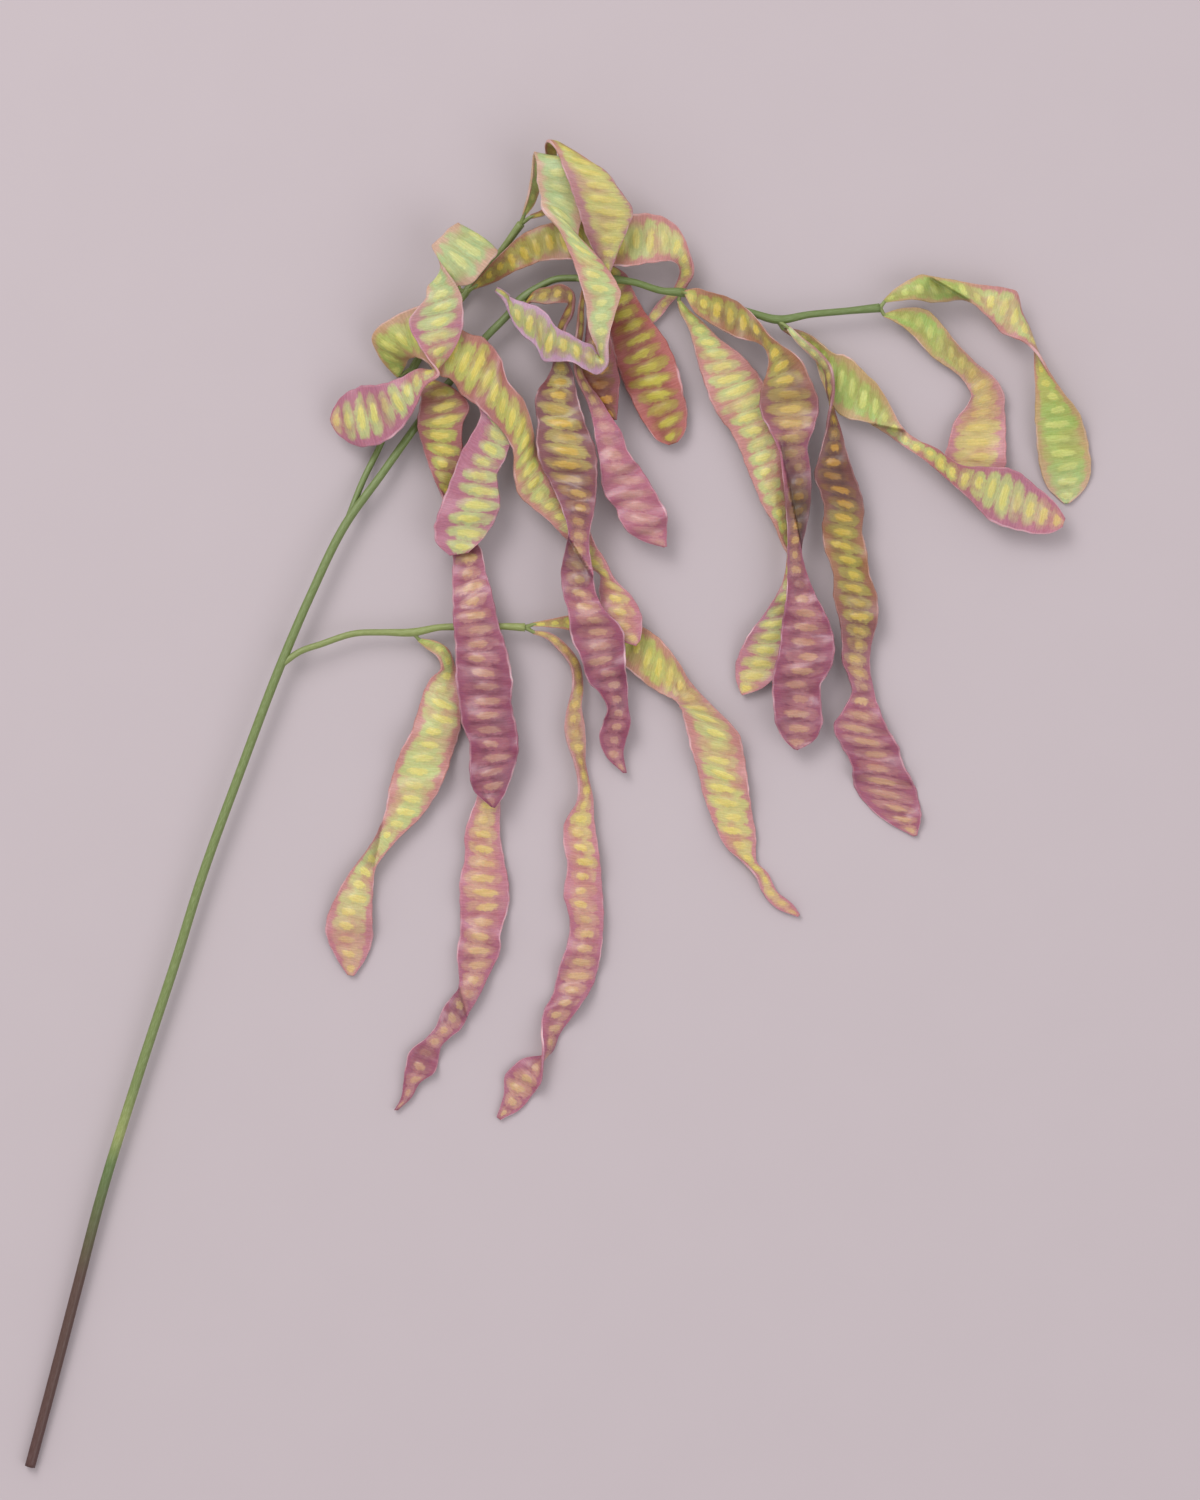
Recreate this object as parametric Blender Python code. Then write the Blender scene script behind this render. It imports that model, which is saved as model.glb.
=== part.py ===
"""Cut acacia twig with its tangle of twisted seed pods, lying on its back.

Metres, +Z up. +X and +Y run right and up in the view from above. The origin is the centre of the
bounding box, on the surface that the twig lies on.
"""

import bpy
import numpy as np

MM = 0.001
PIXEL = 0.4 * MM  # real size of one pixel of the photograph, in which the outlines are traced
PHOTO_HEIGHT = 1500

# Pod section
SEED_PITCH = 6.2 * MM
NARROWEST = 1.6 * MM  # stalk and beak of a pod
RIM_THICKNESS = 1.0 * MM
WALL_THICKNESS = 1.3 * MM
SEED_THICKNESS = 1.1 * MM  # added to the wall at the middle of a seed
SEED_BAND = 0.42  # of the half width
CUPPING = 0.05  # of the width
PLAIN_WIDTH, SEEDED_WIDTH = 6 * MM, 14 * MM  # no seeds below the first, full ones above the second
COLUMNS = (-1.0, -SEED_BAND, SEED_BAND, 1.0)
ROWS_PER_SEED = 2

# Stems: diameters at the cut foot, at the first fork, at the far end and of the side stems
FOOT_DIAMETER, FORK_DIAMETER, END_DIAMETER, SIDE_DIAMETER = 4.2 * MM, 3.2 * MM, 2.8 * MM, 2.6 * MM
KNOT_SWELL = 1.3

# A stem point is x, y in photo pixels, height of the centre line in mm, diameter as a share of the
# foot's for the main stem and of SIDE_DIAMETER for the others.
FORK = FORK_DIAMETER / FOOT_DIAMETER
END = END_DIAMETER / FOOT_DIAMETER
MAIN_STEM = [
    (27, 1470, 2.1, 1.0), (50, 1385, 3.2, 1.0), (75, 1290, 4.4, 1.0), (100, 1195, 5.2, 0.98),
    (137, 1076, 6.0, 0.95), (175, 960, 6.8, 0.92), (200, 880, 7.4, 0.9), (240, 770, 8.2, 0.87),
    (280, 665, 9.0, 0.88), (310, 595, 8.8, 0.82), (346, 522, 8.0, 0.84), (380, 475, 7.2, FORK),
    (412, 430, 7.0, FORK), (450, 380, 7.8, 0.74), (486, 336, 9.0, 0.72), (507, 315, 10.0, 0.72),
    (521, 299, 10.6, 0.72 * KNOT_SWELL), (538, 287, 11.2, 0.7), (556, 279, 11.6, END),
    (576, 278, 12.0, END), (596, 278, 12.2, END * KNOT_SWELL), (633, 282, 12.2, END),
    (664, 291, 12.0, END), (680, 292, 11.8, END * KNOT_SWELL), (715, 301, 10.8, END),
    (751, 312, 10.2, END), (777, 319, 10.0, END * KNOT_SWELL), (809, 314, 9.6, END),
    (850, 310, 9.2, END), (880, 307, 9.0, END * KNOT_SWELL),
]
UPPER_SIDE_STEM = [
    (346, 522, 8.0, 1.0), (362, 480, 5.0, 1.0), (379, 444, 2.8, 1.0), (395, 405, 1.8, 1.0),
    (412, 366, 1.7, KNOT_SWELL), (437, 328, 1.8, 1.0), (464, 291, 2.4, KNOT_SWELL),
    (482, 270, 3.6, 1.0), (500, 250, 5.0, 1.0), (521, 222, 7.0, KNOT_SWELL),
]
LOWER_SIDE_STEM = [
    (280, 665, 9.0, 1.0), (300, 651, 8.6, 1.0), (320, 644, 8.2, 1.0), (355, 633, 7.8, 1.0),
    (383, 632, 7.6, 1.0), (412, 632, 7.5, KNOT_SWELL), (439, 627, 7.5, 1.0),
    (478, 627, 7.5, KNOT_SWELL), (502, 626, 7.5, 1.0), (525, 627, 7.5, KNOT_SWELL),
]

# A pod is its stations from stalk to tip: x, y of one rim and x, y of the other in photo pixels, the
# height of the middle in mm, and how much higher the first rim is than the other, in mm. The rims
# change sides where the pod twists.
PODS = {
    "pod_left_twist": [
        (460, 286, 457, 288, 4.5, 0), (452, 268, 458, 262, 10, -3), (448, 246, 474, 256, 16, -4),
        (457, 228, 499, 250, 22, 0), (438, 244, 487, 271, 27, 3), (435, 255, 464, 289, 28, 6),
        (444, 270, 436, 286, 28, 7), (461, 295, 426, 303, 28, 2), (465, 318, 410, 325, 28, 0),
        (462, 338, 420, 348, 28, -3), (450, 358, 430, 364, 27, -6), (436, 371, 440, 377, 26, -7),
        (420, 370, 428, 388, 24, -5), (398, 380, 416, 412, 21, -2), (380, 385, 402, 431, 18, 0),
        (362, 386, 378, 445, 14, 0), (348, 392, 358, 447, 11.5, 0), (338, 401, 345, 441, 9, 0),
        (332, 411, 335, 431, 7.5, 0), (330, 418, 331, 423, 7, 0),
    ],
    "pod_left_long": [
        (400, 372, 396, 376, 4.5, 0), (405, 365, 387, 367, 6.5, 0), (408, 361, 376, 351, 9.5, 0),
        (411, 359, 371, 337, 12.5, 0), (415, 358, 381, 325, 14.5, 0), (420, 359, 400, 314, 16, 0),
        (428, 364, 422, 306, 17.5, 0), (440, 377, 448, 315, 19, 0), (452, 382, 466, 333, 20, 0),
        (462, 396, 484, 339, 20, 0), (478, 408, 500, 357, 20.5, 0), (498, 428, 509, 382, 21, -2),
        (512, 448, 525, 404, 20, 0), (514, 458, 532, 427, 18, 2), (515, 475, 536, 446, 16, 3),
        (517, 493, 543, 467, 14, 2), (531, 507, 553, 488, 12, 0), (546, 519, 566, 505, 11, 0),
        (560, 533, 585, 520, 10, 0), (572, 546, 596, 544, 9.5, -2), (585, 565, 606, 560, 9.5, -3),
        (600, 574, 614, 578, 10, -4), (598, 590, 630, 594, 10.5, -2), (604, 615, 641, 612, 11, 0),
        (618, 640, 642, 632, 11.5, 0), (636, 646, 640, 641, 12, 0),
    ],
    "pod_left_drop": [
        (414, 376, 418, 374, 4.5, 0), (418, 386, 436, 380, 9, 0), (421, 398, 457, 390, 12.5, 0),
        (418, 412, 470, 404, 13, 0), (417, 425, 463, 427, 12.5, 0), (420, 441, 463, 448, 11, 0),
        (427, 462, 462, 470, 9.5, 0), (434, 480, 458, 492, 8.5, 3), (442, 498, 456, 510, 8, 5),
        (446, 522, 460, 528, 8, 4), (452, 552, 481, 548, 9, 0), (452, 575, 486, 572, 10, 0),
        (452, 600, 492, 590, 11.5, 0), (453, 622, 498, 620, 12.5, 0), (455, 650, 508, 652, 12.5, 0),
        (455, 672, 513, 678, 12, 0), (458, 700, 512, 702, 12, 0), (461, 722, 516, 722, 12, 0),
        (469, 744, 519, 745, 11.5, 0), (469, 772, 515, 768, 11, 0), (476, 794, 504, 796, 10.5, 0),
        (491, 807, 495, 808, 10, 0),
    ],
    "pod_left_short": [
        (474, 358, 478, 356, 12, 0), (479, 378, 487, 376, 14.5, 2), (478, 402, 500, 410, 16, 1),
        (480, 418, 511, 432, 17, 0), (470, 438, 510, 448, 17, 0), (461, 454, 504, 463, 16.5, 0),
        (453, 474, 498, 476, 16, 0), (445, 495, 500, 496, 15, 0), (437, 516, 500, 510, 14.5, 0),
        (434, 531, 490, 530, 14, 0), (438, 546, 478, 545, 14, 0), (450, 556, 468, 553, 14, 0),
    ],
    "pod_centre_long": [
        (527, 302, 525, 306, 12, 0), (536, 291, 531, 303, 14, 0), (550, 287, 545, 305, 15, 0),
        (563, 285, 560, 304, 15.5, 0), (573, 292, 568, 304, 15.5, 2), (573, 311, 566, 311, 15, 5),
        (565, 328, 559, 328, 14, 5), (562, 346, 556, 346, 13.5, 4), (572, 370, 551, 369, 14, 2),
        (579, 400, 535, 400, 16, 0), (586, 424, 537, 422, 17, 0), (595, 447, 536, 444, 18, 0),
        (598, 470, 541, 467, 18.5, 0), (597, 490, 553, 490, 18.5, 2), (594, 515, 562, 511, 18.5, 0),
        (590, 534, 568, 532, 18.5, 0), (590, 552, 565, 550, 18, 0), (593, 570, 561, 570, 17.5, 0),
        (596, 592, 562, 590, 18, 0), (606, 611, 568, 614, 18, 0), (622, 628, 571, 638, 17, 0),
        (626, 650, 581, 660, 15, 0), (626, 670, 588, 682, 13, 0), (629, 688, 600, 694, 11, -2),
        (628, 704, 606, 708, 9, -3), (631, 721, 603, 722, 7.5, 0), (627, 738, 599, 738, 6, 0),
        (624, 752, 605, 755, 5, 0), (627, 773, 623, 773, 4.2, 0),
    ],
    "pod_crown_twist": [
        (522, 214, 526, 214, 9, 0), (527, 200, 534, 203, 12, 4), (532, 180, 540, 186, 17, 6),
        (534, 157, 556, 163, 22.5, 2), (537, 170, 575, 165, 26, 0), (537, 186, 580, 185, 26, 0),
        (540, 197, 582, 204, 24.5, 0), (541, 204, 582, 222, 24, 0), (542, 209, 579, 238, 25.5, 0),
        (552, 224, 586, 249, 27.5, 0), (563, 243, 595, 257, 28.5, 0), (572, 263, 606, 270, 28.5, 0),
        (580, 287, 616, 285, 28.5, 0), (585, 305, 621, 298, 28, 0), (587, 322, 616, 315, 27.5, 0),
        (590, 337, 611, 332, 27, 0), (597, 350, 608, 350, 26.5, -3), (599, 358, 606, 370, 26, -4),
        (592, 347, 597, 377, 25, -2), (583, 344, 585, 372, 24.5, 0), (570, 336, 573, 365, 24, 0),
        (557, 329, 560, 364, 23, 0), (549, 317, 545, 364, 22, 0), (537, 308, 536, 348, 21, 0),
        (522, 303, 523, 337, 20, 0), (510, 298, 512, 322, 19, -2), (508, 296, 506, 304, 18, -3),
        (498, 288, 495, 293, 17, 0),
    ],
    "pod_crown_fold": [
        (530, 214, 532, 218, 9, 0), (543, 208, 546, 214, 9.5, 0), (550, 190, 556, 192, 11, 2),
        (548, 167, 557, 167, 14, 3), (545, 150, 557, 149, 20, 2), (548, 146, 562, 150, 28, 0),
        (558, 160, 587, 165, 33, 0), (564, 176, 607, 178, 33.5, 0), (571, 195, 621, 197, 33, 0),
        (578, 214, 633, 216, 30.5, 0), (585, 236, 627, 233, 26, 0), (594, 256, 618, 255, 22.5, 0),
        (606, 276, 610, 276, 20.5, 0),
    ],
    "pod_upper_cross": [
        (472, 284, 474, 288, 5, 0), (490, 264, 496, 281, 9, 0), (505, 250, 512, 273, 12, 0),
        (520, 236, 528, 267, 14, 0), (538, 227, 545, 262, 15, 0), (554, 223, 562, 261, 16, 0),
        (580, 217, 585, 262, 16.5, 0), (605, 214, 608, 266, 16.5, 0), (633, 215, 626, 268, 16.5, 0),
        (648, 214, 641, 266, 16.5, 0), (664, 218, 656, 264, 16, 0), (679, 229, 668, 262, 15, 0),
        (689, 250, 677, 264, 12.5, 3), (694, 272, 680, 271, 9.5, 5), (688, 284, 677, 281, 6.5, 4),
        (682, 292, 672, 289, 4.5, 2), (672, 301, 662, 296, 3, 0), (660, 316, 650, 311, 2.2, 0),
        (642, 330, 638, 328, 1.8, 0),
    ],
    "pod_centre_red": [
        (608, 264, 612, 264, 8.5, 0), (604, 272, 624, 271, 8, 0), (604, 290, 633, 288, 7.5, 0),
        (606, 312, 644, 308, 7, 0), (610, 335, 657, 326, 7, 0), (614, 355, 669, 344, 7, 0),
        (620, 374, 679, 368, 6.5, 0), (629, 394, 684, 392, 6, 0), (640, 416, 688, 409, 5.5, 0),
        (650, 431, 687, 425, 5, 0), (658, 440, 684, 434, 4.7, 0), (669, 444, 678, 441, 4.5, 0),
    ],
    "pod_centre_dark": [
        (596, 287, 600, 287, 13.5, 0), (591, 298, 602, 298, 14, 0), (587, 316, 607, 314, 14.5, 0),
        (584, 344, 611, 338, 14.5, 0), (577, 362, 616, 360, 14.5, 0), (577, 376, 620, 380, 14, 0),
        (586, 392, 619, 398, 13.5, 0), (598, 405, 618, 410, 13, 0), (613, 420, 617, 420, 12.5, 0),
    ],
    "pod_centre_pink": [
        (583, 283, 587, 284, 14.5, 0), (579, 305, 584, 306, 17, 1), (577, 330, 583, 330, 18.5, 2),
        (574, 356, 580, 356, 19, 2), (575, 374, 582, 373, 19, 2), (580, 388, 589, 386, 19, 2),
        (587, 403, 600, 400, 18.5, 2), (592, 420, 609, 414, 17.5, 1), (595, 440, 622, 433, 16.5, 0),
        (599, 462, 628, 451, 15.5, 0), (601, 484, 640, 467, 14.5, 0), (606, 498, 650, 482, 13.5, 0),
        (615, 508, 659, 498, 12.5, 0), (620, 521, 667, 512, 11.5, 0), (631, 535, 668, 525, 10.5, 0),
        (648, 543, 667, 538, 9.5, 0), (664, 547, 667, 546, 9, 0),
    ],
    "pod_right_inner": [
        (677, 301, 681, 300, 10.5, 0), (680, 312, 689, 309, 10, 1), (688, 327, 703, 321, 9.5, 0),
        (694, 347, 720, 338, 9, 0), (701, 373, 742, 354, 8.5, 0), (709, 397, 757, 370, 8, 0),
        (718, 415, 766, 385, 8, 0), (730, 430, 772, 405, 7.5, 0), (740, 450, 778, 425, 7, 0),
        (750, 475, 782, 455, 7, 0), (762, 503, 785, 485, 7, 2), (773, 522, 788, 512, 6.5, 3),
        (782, 543, 790, 537, 6, 5), (793, 560, 788, 562, 5.5, 5), (799, 582, 783, 582, 5.5, 3),
        (796, 612, 766, 611, 5.5, 0), (789, 650, 747, 637, 5, 0), (777, 676, 736, 664, 4, 0),
        (759, 690, 737, 682, 3, 0), (743, 695, 741, 692, 2.5, 0),
    ],
    "pod_right_front": [
        (685, 291, 685, 296, 15, 0), (694, 289, 692, 310, 16, 0), (710, 293, 708, 323, 16, 0),
        (728, 298, 725, 333, 16, 0), (745, 307, 743, 341, 15.5, 0), (758, 321, 757, 343, 15, 2),
        (768, 335, 765, 348, 14.5, 3), (781, 345, 768, 361, 14.5, 1), (798, 357, 765, 376, 15, 0),
        (812, 383, 760, 392, 15, 0), (819, 406, 760, 413, 15, 0), (816, 423, 767, 428, 15, 0),
        (808, 445, 778, 450, 13.5, 0), (811, 470, 782, 477, 13.5, 0), (811, 500, 785, 505, 13.5, 0),
        (807, 526, 787, 529, 13.5, 0), (802, 550, 787, 551, 13.5, 0), (807, 572, 787, 573, 13, 0),
        (816, 595, 786, 595, 13, 0), (829, 620, 782, 620, 12.5, 0), (835, 650, 779, 649, 12, 0),
        (832, 667, 774, 666, 11.5, 0), (822, 684, 772, 685, 11, 0), (822, 705, 773, 705, 10, 0),
        (822, 728, 777, 728, 9, 0), (812, 743, 785, 741, 8, 0), (798, 750, 794, 749, 7.5, 0),
    ],
    "pod_right_sweep": [
        (785, 327, 783, 330, 7.5, 0), (796, 328, 792, 336, 7, 0), (811, 334, 805, 345, 7, 2),
        (822, 343, 814, 354, 7.5, 4), (834, 352, 822, 380, 8, 2), (848, 355, 833, 406, 8.5, 0),
        (864, 370, 850, 419, 9, 0), (878, 384, 866, 422, 9.5, 0), (891, 405, 876, 427, 9.5, 0),
        (901, 424, 890, 436, 10, 0), (910, 434, 902, 445, 10.5, 0), (919, 440, 911, 451, 11, 0),
        (937, 448, 928, 463, 11, 0), (949, 457, 943, 476, 11, 0), (963, 465, 955, 487, 11, 0),
        (985, 466, 970, 500, 11, 0), (1005, 467, 987, 518, 11, 0), (1020, 472, 1001, 526, 10.5, 0),
        (1035, 484, 1020, 531, 10, 0), (1050, 497, 1040, 534, 9.5, 0), (1060, 508, 1055, 532, 9.2, 0),
        (1066, 518, 1063, 527, 9, 0),
    ],
    "pod_right_drop": [
        (787, 330, 790, 326, 11.5, 0), (797, 343, 803, 338, 12.5, -1), (812, 357, 818, 351, 13, -2),
        (824, 370, 830, 366, 13.5, -3), (827, 391, 834, 390, 13.5, -4), (834, 411, 829, 412, 13.5, -7),
        (841, 430, 826, 430, 12.5, -4), (847, 452, 819, 456, 11.5, -1), (855, 475, 814, 475, 11, 0),
        (862, 493, 820, 493, 10.5, 0), (865, 510, 824, 508, 10, 0), (863, 528, 822, 527, 9.5, 0),
        (867, 548, 824, 546, 9, 0), (870, 572, 833, 572, 8.5, 0), (879, 600, 834, 600, 8, 0),
        (878, 622, 840, 622, 7.5, 0), (874, 640, 842, 640, 7, -1), (871, 660, 842, 660, 6.5, -3),
        (872, 680, 849, 678, 6.5, -4), (876, 692, 853, 692, 6, -3), (880, 706, 845, 707, 5.5, -1),
        (889, 728, 834, 725, 5, 0), (900, 746, 842, 746, 4.2, 0), (906, 765, 852, 765, 3.2, 0),
        (917, 786, 854, 783, 2, 0), (922, 806, 862, 799, 0.9, 0), (923, 819, 884, 820, 0.6, 0),
        (919, 836, 915, 837, 1.2, 0),
    ],
    "pod_right_high": [
        (887, 302, 884, 299, 9.5, 0), (898, 301, 893, 290, 11, 0), (916, 300, 908, 280, 12, 0),
        (931, 303, 921, 274, 12, 0), (948, 302, 937, 277, 12, 0), (962, 300, 955, 280, 12, 0),
        (973, 304, 970, 283, 12, 0), (983, 313, 985, 285, 12, 0), (993, 323, 1001, 287, 12, 0),
        (1001, 332, 1016, 291, 11.5, 0), (1017, 340, 1024, 311, 11, 3), (1027, 345, 1032, 332, 10.5, 6),
        (1037, 354, 1036, 350, 10, 7), (1049, 371, 1036, 372, 9, 4), (1064, 391, 1036, 393, 8, 2),
        (1079, 409, 1036, 415, 6.5, 0), (1088, 430, 1037, 430, 4.8, 0), (1092, 448, 1039, 451, 3.2, 0),
        (1094, 467, 1043, 471, 1.5, 0), (1091, 481, 1049, 485, 0.9, 0), (1082, 494, 1058, 495, 0.7, 0),
        (1072, 502, 1066, 502, 1.1, 0),
    ],
    "pod_right_low": [
        (886, 312, 884, 316, 8, 0), (898, 308, 893, 320, 7.5, 0), (915, 306, 908, 330, 7, 0),
        (929, 309, 922, 344, 6.5, 0), (941, 320, 936, 358, 6, 0), (952, 334, 950, 367, 5.5, 2),
        (965, 349, 961, 375, 5.5, 3), (979, 363, 968, 384, 5, 3), (994, 374, 972, 395, 5, 0),
        (1005, 390, 966, 407, 5, 0), (1007, 410, 956, 419, 4.5, 0), (1008, 428, 950, 438, 4.5, 0),
        (1008, 447, 946, 452, 4.5, 0), (1006, 467, 943, 466, 4.5, 0), (992, 484, 955, 480, 4.5, 0),
        (976, 492, 972, 491, 4, 0),
    ],
    "pod_low_left": [
        (417, 641, 421, 638, 6, 0), (425, 648, 434, 640, 5.5, 0), (438, 658, 448, 650, 5, 3),
        (440, 670, 454, 668, 5, 4), (431, 677, 457, 683, 5, 1), (424, 688, 459, 699, 5, 0),
        (418, 707, 461, 718, 5, 0), (411, 729, 459, 735, 5, 0), (400, 751, 452, 755, 5, 0),
        (392, 773, 445, 777, 5, 0), (387, 793, 435, 797, 5, 0), (384, 812, 420, 818, 5, 0),
        (378, 828, 402, 835, 5, 0), (371, 842, 386, 853, 5, 0), (362, 855, 376, 867, 4.8, 0),
        (347, 875, 373, 885, 4.2, 0), (334, 898, 372, 903, 3.8, 0), (325, 920, 372, 924, 3.2, 0),
        (326, 941, 371, 945, 2.6, 0), (336, 961, 363, 963, 2, 0), (346, 976, 353, 977, 1.6, 0),
    ],
    "pod_low_middle": [
        (476, 637, 481, 637, 4.2, 0), (478, 680, 487, 680, 4, 2), (482, 740, 492, 740, 4, 2),
        (479, 780, 496, 780, 4, 1), (476, 798, 500, 800, 4, 0), (469, 816, 500, 818, 4, 0),
        (464, 834, 500, 836, 4, 0), (464, 856, 504, 858, 3.5, 0), (459, 880, 508, 880, 3.5, 0),
        (459, 907, 509, 905, 3.5, 0), (459, 932, 501, 934, 3.5, 0), (456, 954, 500, 952, 3.5, 0),
        (458, 974, 490, 974, 3.5, 0), (457, 990, 479, 997, 3.5, 0), (449, 1000, 469, 1014, 3.4, 0),
        (441, 1011, 461, 1030, 3.3, 0), (435, 1027, 452, 1037, 3, 0), (424, 1040, 441, 1048, 2.8, 0),
        (409, 1052, 438, 1061, 2.5, 0), (404, 1070, 434, 1074, 2.2, 0), (402, 1086, 419, 1085, 2, 0),
        (400, 1099, 411, 1099, 1.6, 0), (393, 1112, 397, 1112, 1.4, 0),
    ],
    "pod_low_centre": [
        (533, 634, 535, 630, 7, 0), (545, 638, 549, 632, 6.5, 0), (558, 650, 564, 642, 6, 1),
        (570, 666, 579, 662, 6, 3), (572, 688, 583, 686, 6, 3), (566, 711, 582, 708, 6, 0),
        (564, 728, 585, 725, 6, 0), (567, 744, 586, 743, 6, 2), (574, 762, 585, 762, 5.5, 4),
        (578, 779, 588, 779, 5.5, 4), (577, 799, 593, 797, 5.5, 2), (564, 824, 595, 824, 5, 0),
        (563, 843, 598, 843, 5, 0), (567, 867, 601, 868, 5, 0), (563, 893, 603, 893, 4.5, 0),
        (569, 919, 604, 919, 4.5, 0), (568, 939, 603, 940, 4, 0), (559, 967, 599, 967, 3.5, 0),
        (552, 995, 590, 993, 3.5, 0), (543, 1013, 575, 1014, 3.5, 1), (541, 1035, 560, 1035, 3.5, 5),
        (542, 1056, 548, 1056, 4, 7), (542, 1082, 523, 1060, 3.5, 4), (535, 1093, 505, 1076, 2.2, 0),
        (522, 1110, 503, 1096, 1.2, 0), (500, 1122, 496, 1119, 1.2, 0),
    ],
    "pod_low_right": [
        (533, 622, 533, 626, 7, 0), (548, 619, 548, 627, 7, 0), (567, 615, 568, 630, 6.5, 0),
        (590, 610, 590, 641, 6, 0), (615, 612, 612, 655, 5.5, 0), (643, 626, 629, 670, 5.5, 0),
        (657, 635, 643, 682, 5.5, 0), (669, 648, 658, 692, 6, 0), (682, 666, 668, 697, 6.5, 0),
        (692, 683, 674, 700, 7.5, 0), (707, 699, 677, 703, 8.2, 0), (724, 716, 679, 706, 8.6, 0),
        (738, 731, 682, 712, 8, 0), (743, 744, 685, 726, 6.5, 0), (746, 760, 690, 746, 5, 0),
        (749, 783, 697, 768, 4.5, 0), (752, 806, 704, 797, 4, 0), (757, 835, 716, 828, 3.5, 0),
        (757, 855, 730, 852, 3, -1), (758, 864, 745, 864, 3, -3), (768, 874, 756, 876, 3, -3),
        (778, 892, 763, 893, 2.5, -1), (793, 904, 777, 909, 2, 0), (801, 915, 799, 918, 1.6, 0),
    ],
}

# Green stem and the pods' body colours, from green to mauve
STEM_COLOUR = (0.093, 0.156, 0.04)
POD_COLOUR = (0.42, 0.33, 0.12)


def place(x, y, height):
    """A traced point, in photo pixels and mm, as metres."""
    return np.array([x * PIXEL, (PHOTO_HEIGHT - y) * PIXEL, height * MM])


def through(knots, points, where):
    """A smooth curve through points at knots, read at each value in where."""
    slope = np.gradient(points, knots, axis=0)
    i = np.clip(np.searchsorted(knots, where, side="right") - 1, 0, len(knots) - 2)
    step = (knots[i + 1] - knots[i])[:, None]
    s = (where - knots[i])[:, None] / step
    return (
        (2 * s**3 - 3 * s**2 + 1) * points[i]
        + (s**3 - 2 * s**2 + s) * step * slope[i]
        + (3 * s**2 - 2 * s**3) * points[i + 1]
        + (s**3 - s**2) * step * slope[i + 1]
    )


def pod_rows(stations, rows_per_seed):
    """Both rims of a pod, row by row, and how far along its seeds each row is."""
    rims = np.array([
        np.concatenate([place(ax, ay, z + rise / 2), place(bx, by, z - rise / 2)])
        for ax, ay, bx, by, z, rise in stations
    ])
    middles = (rims[:, :3] + rims[:, 3:]) / 2
    lengths = np.linalg.norm(np.diff(middles, axis=0), axis=1)
    knots = np.concatenate([[0], np.cumsum(lengths)])
    seeds = round(knots[-1] / SEED_PITCH)
    along = np.linspace(0, seeds, seeds * rows_per_seed + 1)
    rows = through(knots, rims, along / seeds * knots[-1])
    middle = (rows[:, :3] + rows[:, 3:]) / 2
    across = rows[:, :3] - rows[:, 3:]
    width = np.linalg.norm(across, axis=1)[:, None]
    across /= width
    width = np.maximum(width, NARROWEST)
    return middle + across * width / 2, middle - across * width / 2, along


def pod_points(stations, rows_per_seed, columns):
    """The front and back points of a pod, indexed by row and column."""
    first, second, along = pod_rows(stations, rows_per_seed)
    middle = (first + second) / 2
    across = first - second
    width = np.linalg.norm(across, axis=1)[:, None]
    facing = np.cross(across, np.gradient(middle, axis=0))
    facing /= np.linalg.norm(facing, axis=1)[:, None]
    u = np.array(columns)[None, :]
    seeded = np.clip((width - PLAIN_WIDTH) / (SEEDED_WIDTH - PLAIN_WIDTH), 0, 1)
    on_seed = (0.5 - 0.5 * np.cos(2 * np.pi * along))[:, None]
    inside = np.clip((1 - np.abs(u)) / (1 - SEED_BAND), 0, 1)
    wall = RIM_THICKNESS + (WALL_THICKNESS - RIM_THICKNESS + SEED_THICKNESS * seeded * on_seed) * inside
    centre = middle[:, None] + across[:, None] * u[..., None] / 2
    centre = centre + facing[:, None] * (CUPPING * width * (1 - u**2))[..., None]
    half = facing[:, None] * wall[..., None] / 2
    return centre + half, centre - half


def pod_mesh(name, stations):
    """A pod as one closed skin, its two faces split into triangles alike."""
    front, back = pod_points(stations, ROWS_PER_SEED, COLUMNS)
    rows, columns = front.shape[:2]
    # The pod lies on small flat spots.
    back[..., 2] = np.maximum(back[..., 2], 0)
    front[..., 2] = np.maximum(front[..., 2], 0)
    ring = np.concatenate([front, back[:, ::-1]], axis=1)
    around = ring.shape[1]
    faces = []
    for row in range(rows - 1):
        here, there = row * around, (row + 1) * around
        for k in range(around):
            n = (k + 1) % around
            if k < columns:
                faces += [(here + k, there + n, there + k), (here + k, here + n, there + n)]
            else:
                faces += [(here + k, here + n, there + k), (here + n, there + n, there + k)]
    for end, turned in ((0, False), ((rows - 1) * around, True)):
        for k in range(columns - 1):
            a, b = end + k, end + k + 1
            c, d = end + around - 2 - k, end + around - 1 - k
            pair = [(a, c, b), (a, d, c)]
            faces += [p[::-1] for p in pair] if turned else pair
    mesh = bpy.data.meshes.new(name)
    mesh.from_pydata(ring.reshape(-1, 3).tolist(), [], faces)
    mesh.validate()
    return mesh


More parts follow.
